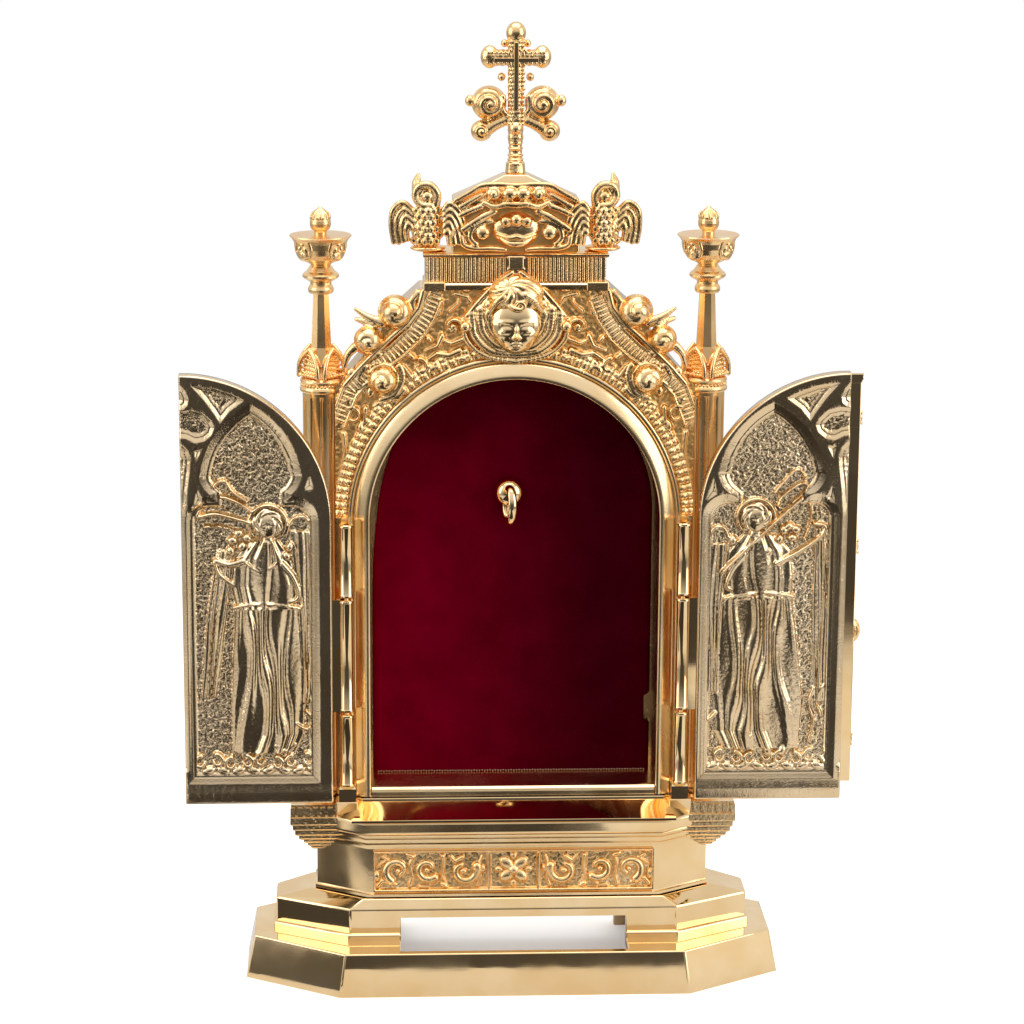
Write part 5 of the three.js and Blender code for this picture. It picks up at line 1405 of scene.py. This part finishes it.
LEFT_LIMBS = [
    ([(26.6, 121), (28.2, 125), (31.2, 125.8), (33.2, 122.4), (33.6, 112), (33.4, 101)], 0.9, 1.35, 0.6),
    ([(15.6, 114.4), (12.0, 113.4), (8.6, 114.4)], 2.3, 2.1, 1.6),
    ([(8.4, 114), (9.8, 110.6), (13.6, 107.4), (14.6, 104.4)], 1.5, 1.7, 0.8),
    ([(25.6, 113.6), (28.6, 109.6), (29.6, 104.4), (24.4, 102.8)], 1.9, 2.0, 1.2),
    ([(13.2, 102.2), (18, 103), (24, 102.9), (30, 101.8)], 1.2, 2.1, 1.0),
    ([(15.8, 114.6), (20.5, 111.4), (25.2, 114.8)], 1.0, 2.2, 0.8),
    ([(4.2, 126.6), (6.2, 129.8), (10.0, 131.2), (14.4, 129.8), (17.8, 127.4)], 1.3, 2.1, 1.1),
    ([(4.4, 126.0), (8.6, 126.8), (13.0, 125.8), (17.6, 124.4)], 1.3, 2.1, 1.1),
    ([(6.0, 123.4), (10.2, 123.4), (15.6, 121.6)], 1.0, 1.8, 0.7),
    ([(8.0, 130.6), (8.6, 134.2), (11.2, 135.4), (13.4, 132.4), (16.8, 130.0)], 1.0, 1.9, 0.9),
    ([(28.6, 71), (31.6, 69.4), (33.2, 71.8), (31.6, 74)], 1.1, 1.5, 0.8),
    ([(23.6, 65), (26.4, 63.4), (28.4, 65.4)], 1.1, 1.5, 0.8),
]
RIGHT_LIMBS = [
    ([(30, 118), (31.6, 122), (34.2, 122.4), (35.6, 118.4), (35.8, 106)], 0.9, 1.35, 0.6),
    ([(31.8, 111), (25.6, 117.4), (18.4, 124.2), (12.4, 129.6), (8.4, 132.4)], 1.1, 2.3, 1.1),
    ([(32.0, 110.4), (28.8, 113.0), (25.6, 117.2), (24.2, 119.4)], 1.5, 1.7, 0.8),
    ([(18.2, 113.0), (12.4, 116.0), (7.0, 119.8), (5.8, 122.6), (8.4, 123.2)], 1.7, 2.2, 1.2),
    ([(26.4, 115.4), (29.8, 110.8), (30.6, 106.4), (25.4, 105.4)], 1.8, 2.0, 1.2),
    ([(13.8, 104.2), (19, 105), (25, 104.9), (31.4, 103.8)], 1.2, 2.1, 1.0),
    ([(18.0, 128.2), (17.0, 130.6), (12.4, 134.0), (10.6, 132.8), (14.4, 129.0)], 0.8, 1.8, 0.8),
    ([(19.0, 131.6), (15.4, 135.8), (13.0, 137.6), (11.0, 135.2)], 0.8, 1.6, 0.7),
    ([(10.0, 129.0), (9.4, 124.4), (11.2, 119.4)], 0.8, 1.5, 0.7),
    ([(7.6, 79.4), (8.8, 75), (7.6, 70.6), (8.6, 65)], 1.1, 1.4, 1.2),
    ([(33, 73), (35.2, 71), (36, 74)], 1.0, 1.4, 0.8),
    ([(5.2, 80), (6.6, 76.4), (5.6, 72)], 0.9, 1.3, 0.8),
]


def panel_gap(u, z, panel):
    """Distance outside the panel's outline; negative within it. u runs from the free edge."""
    across = np.abs(u - panel["middle"])
    lobe = np.hypot(across, (z - PANEL["foil_z"]) * 1.6) - PANEL["foil"] * panel["wide"]
    point = np.hypot(across / panel["wide"] + 11, z - PANEL["foil_z"] + 2.9) - 24
    lancet = np.where(z > PANEL["foil_z"], point, lobe)
    corner = np.where(z > 90, PANEL["corner"], 0)
    dx = across - panel["half"] + corner
    middle, half = (PANEL["shoulder"] + PANEL["bottom"]) / 2, (PANEL["shoulder"] - PANEL["bottom"]) / 2
    dz = np.abs(z - middle) - half + corner
    square = np.hypot(np.maximum(dx, 0), np.maximum(dz, 0)) + np.minimum(np.maximum(dx, dz), 0) - corner
    throat = np.maximum(across - 10.2, np.abs(z - 130) - 9)
    return np.minimum(np.minimum(lancet, square), throat)


def within(u, z, outline):
    """Which points lie inside a closed outline."""
    inside = np.zeros(u.shape, bool)
    for (ax, az), (bx, bz) in zip(outline, outline[1:] + outline[:1]):
        crosses = (az > z) != (bz > z)
        inside ^= crosses & (u < ax + (z - az) * (bx - ax) / (bz - az if bz != az else 1e-9))
    return inside


def tracery(u, z, panel):
    """Depth of the mouldings and sunk grounds below the polished border."""
    pebbles = 0.36 * matting(u, z, 0.42, 21)
    depth = np.zeros(u.shape)
    inside = -panel_gap(u, z, panel)
    ground = np.interp(inside, *MOULDING) + pebbles * np.clip((inside - 2.7) / 0.3, 0, 1)
    depth = np.where(inside > 0, ground, depth)
    for outline in SUNK_FIELDS + [panel["corners"]]:
        away, _ = near_path(u, z, outline + outline[:1])
        field = within(u, z, outline)
        sunk = np.interp(away, *SUNK) + pebbles * 0.7 * np.clip((away - 1.8) / 0.3, 0, 1)
        depth = np.where(field, sunk, depth)
    return depth


def angel_head(relief, u, z, centre):
    """A round face in soft waves of hair, before a halo with a plain rim."""
    cx, cz = centre
    away, turn = np.hypot(u - cx, z - cz), np.arctan2(z - cz, u - cx)
    disc = np.clip((5.3 - away) / 0.3, 0, 1) * (z > cz - 3.6)
    rim = np.clip(1 - ((away - 4.8) / 0.55) ** 2, 0, 1) ** 0.5 * (z > cz - 3.2)
    waves = 0.9 + 0.1 * np.cos(6 * turn + 5 * away)
    hair = np.sqrt(np.clip(1 - ((away - 3.0) / 1.3) ** 2, 0, 1)) * (z > cz - 3.0)
    for layer in (0.5 * disc, 1.35 * rim, 2.1 * hair * waves):
        np.maximum(relief, layer, out=relief, where=disc > 0)
    dome(relief, u, z, (cx, cz - 4.2), 1.7, 2.0, 1.7)
    face = np.clip(1 - ((u - cx) / 2.3) ** 2 - ((z - cz + 0.5) / 3.0) ** 2, 0, 1)
    features = 0.3 * bump(u, z, cx, cz - 0.7, 0.5, 0.55) + 0.15 * bump(u, z, cx, cz + 0.2, 0.3, 0.9)
    for side in (-1, 1):
        features += 0.14 * bump(u, z, cx + side * 0.9, cz + 0.3, 0.55, 0.25)
        features -= 0.22 * bump(u, z, cx + side * 0.9, cz - 0.05, 0.7, 0.35)
    features += 0.14 * bump(u, z, cx, cz - 1.8, 0.55, 0.2) - 0.14 * bump(u, z, cx, cz - 1.5, 0.7, 0.15)
    np.maximum(relief, 1.7 + 0.75 * np.sqrt(face) + features, out=relief, where=face > 0)


def drape(relief, u, z, left, right, height, folds, depth):
    """A rounded fall of cloth or feathers between two edges, with soft folds that run down it."""
    near, far = (np.interp(z, *zip(*edge)) for edge in (left, right))
    t = (u - near) / (far - near)
    inside = (t > 0) & (t < 1) & (z > left[0][0]) & (z < left[-1][0])
    swell = np.clip(np.sin(math.pi * np.clip(t, 0, 1)), 0, 1)
    bunched = t + 0.06 * np.sin(2 * math.pi * t + z / 9) + 0.03 * np.sin(5 * math.pi * t - z / 5)
    wave = np.cos(2 * math.pi * folds * bunched)
    cloth = height * swell ** 0.35 + depth * (np.abs(wave) ** 0.7 * np.sign(wave)) * swell ** 0.5
    np.maximum(relief, cloth, out=relief, where=inside)


def angel(u, z, with_horn):
    """The figure, its wings and the cloud, as height above the panel's ground."""
    relief = np.zeros(u.shape)
    for fall in LEFT_DRAPES if with_horn else RIGHT_DRAPES:
        drape(relief, u, z, *fall)
    for path, width, rise, tip in LEFT_LIMBS if with_horn else RIGHT_LIMBS:
        roll(relief, u, z, [(point[0], point[1]) for point in bend(path, 5)], width, rise, tip=tip)
    if with_horn:
        ruffles = [(13.0, 119.8), (15.4, 118.2), (12.6, 117.0), (16.8, 120.4), (14.6, 121.6),
                   (27.6, 118), (26.8, 115.6)]
        angel_head(relief, u, z, (22.0, 124.0))
    else:
        ruffles = [(14.2, 119.6), (16.4, 121.6), (17.4, 119.2), (15.2, 122.6), (13.2, 121.8),
                   (29.4, 119), (20.4, 116)]
        angel_head(relief, u, z, (23.6, 125.0))
    for lump, (cu, cz) in enumerate(ruffles):
        dome(relief, u, z, (cu, cz), 1.4, 1.1, 1.5, 0.9 * lump, base=0.3)
    for lump in range(8):
        cu, turn = 4.2 + 3.9 * lump, (-1) ** lump
        puff = curl((cu, 60.4 + 0.5 * math.sin(lump * 2.1)), 1.9, 0.7, 90, 260 * turn)
        roll(relief, u, z, puff, 1.5, 1.5, tip=0.9)
        dome(relief, u, z, (cu + 1.8, 58.2), 1.9, 1.1, 1.1, 0.3 * turn)
    for foot in (15.4, 19.2):
        dome(relief, u, z, (foot, 62.6), 1.2, 1.8, 1.7, 0.15)
    return relief


def from_arch(u, z):
    """Distance in from the door's round edge."""
    return DOOR["far"] - DOOR["near"] - np.hypot(u, np.maximum(z - DOOR["spring"], 0))


def front_face(with_horn, panel):
    def height(x, z):
        u = DOOR["far"] - np.abs(x)
        depth = tracery(u, z, panel)
        figure = angel(u, z, with_horn)
        gap = panel_gap(u, z, panel)
        field = gap < -2.3
        depth += (gap > 0) * panel["worn"] * matting(u, z / 4, 0.5, 25)
        depth = np.where(field & (figure > 0),
                         np.maximum(depth, figure - 1.25 + 0.06 * matting(u, z, 0.35, 23)), depth)
        rail = np.interp(z, [49.4, 49.7, 52.3, 54.4], [0.0, 0.24, 0.3, 0])
        edge = np.minimum(u, DOOR["far"] - DOOR["near"] - u)
        edge = np.minimum(edge, from_arch(u, z))
        return depth + rail - 0.35 * np.clip(1 - edge / 0.45, 0, 1) ** 2
    return height


def struck_ground(with_horn, panel):
    def depth(x, z):
        u = DOOR["far"] - np.abs(x)
        bare = angel(u, z, with_horn) <= 0.05
        return bare * np.clip(-2.3 - panel_gap(u, z, panel), 0, 1)
    return depth


def back_face(x, z):
    u = DOOR["far"] - np.abs(x)
    return tracery(u, z, LEFT_PANEL) * 0.7 - 0.3 * np.clip(1 - from_arch(u, z) / 0.45, 0, 1) ** 2


def door_place(side):
    """Net over a door: even rows up the straight part, then even angles over the quarter arch."""
    radius, upright = DOOR["far"] - DOOR["near"], DOOR["spring"] - DOOR["bottom"]
    straight = upright / (upright + radius * 1.5)

    def place(s, t):
        angle = np.clip((t - straight) / (1 - straight), 0, 1) * 1.5
        z = DOOR["bottom"] + np.clip(t / straight, 0, 1) * upright + radius * np.sin(angle)
        reach = radius * np.cos(angle) * (s if side < 0 else 1 - s)
        return side * (DOOR["far"] - reach), z
    return place


DOOR_GOLD = {"Pale": (0.84, 0.65, 0.42, 1), "Warm": (0.78, 0.57, 0.33, 1)}
door_gilt = gilt("door_gilt", skin, 0.04, gold=DOOR_GOLD, Grain=2600.0, Low=0.07, High=0.14, Punch=2.6)
for (side, label), panel in zip(SIDES, (LEFT_PANEL, RIGHT_PANEL)):
    bm = relief_slab(160, 560, door_place(side), front_face(side < 0, panel), DOOR["front"], DOOR["middle"],
                     matted=struck_ground(side < 0, panel))
    settle(f"{label}_door_face", bm, door_gilt, f"{label}_door", "cast_gilt", f"{label}_door", crease=70,
           share=0.5)
    bm = relief_slab(84, 290, door_place(side), back_face, 0, 1.7)
    bmesh.ops.scale(bm, vec=(1, -1, 1), verts=bm.verts)
    bmesh.ops.reverse_faces(bm, faces=bm.faces)
    bmesh.ops.translate(bm, vec=(0, DOOR["back"], 0), verts=bm.verts)
    for vert in bm.verts:
        vert.co.y = max(vert.co.y, DOOR["middle"])
    settle(f"{label}_door_outside", bm, door_gilt, f"{label}_door", "cast_gilt", f"{label}_door", crease=70,
           share=0.3)

    bm = bmesh.new()
    x = side * HINGE["x"]
    knuckle(bm, x, *HINGE["middle"])
    leaf = sorted((x + side * 0.6, side * (DOOR["near"] + 0.6)))
    block(bm, *leaf, HINGE["y"] - 0.8, HINGE["y"] + 0.8, *HINGE["middle"])
    settle(f"{label}_door_knuckle", bm, mirror_gilt, f"{label}_door", "cast_gilt", f"{label}_door")

# ---------------------------------------------------------------- meeting strip
# A polished strip soldered to the outer face of the right door, to cover the joint when both are shut.
# It has a lipped cap, three small knops on its edge and a fluted boss to pull it by.
STRIP = {"near": 82.7, "far": 88.5, "back": -11.2, "bottom": 52.6, "top": 161.6}

bm = bmesh.new()
near, far, back = STRIP["near"], STRIP["far"], STRIP["back"]
block(bm, near, far, back, back + 1, STRIP["bottom"], 159.4)
raise_plan(bm, [oblong(near, far, back, back + 1.1, 159.2), oblong(near, far + 0.3, back, back + 1.3, 159.8),
                oblong(near, far + 0.6, back, back + 1.3, 160.4),
                oblong(near, far + 0.6, back, back + 1.3, STRIP["top"])])
block(bm, near, 84.9, -11.8, back + 0.1, 53, 160)
soften(bm, 0.22, segments=2)
settle("meeting_strip", bm, mirror_gilt, "right_door", "cast_gilt", "right_door", filed=True)

bm = bmesh.new()
for z, size in ((150, 0.9), (116, 1.0), (64, 0.9)):
    ball(bm, (far, back + 0.6, z), (size * 0.55, 0.5, size * 1.4))
    ball(bm, (far + 0.1, back + 0.6, z + size * 1.4), (size * 0.5, 0.5, size * 0.7), lean=(0, 30, 0))
    ball(bm, (far + 0.1, back + 0.6, z - size * 1.4), (size * 0.5, 0.5, size * 0.7), lean=(0, -30, 0))
ball(bm, (far - 0.4, back + 1.25, 93.4), (2.1, 1.2, 3.3), detail=4)
for groove in range(6):
    turn = math.radians(-75 + 30 * groove)
    rope(bm, [(far - 0.4, back + 1.0 + 0.3 * math.sin(turn), 96.7),
              (far - 0.4 + 1.9 * math.cos(turn), back + 1.0 + 1.1 * math.sin(turn), 93.4),
              (far - 0.4, back + 1.0 + 0.3 * math.sin(turn), 90.1)], 0.3)
bm = cast_together(bm, 0.15, rounds=1)
settle("strip_knops", bm, relief_gilt, "right_door", "cast_gilt", "right_door", crease=180)

for name, node_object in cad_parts.items():
    if not node_object.hide_render:
        node_object.data.materials.clear()
        node_object.data.materials.append(mirror_gilt)
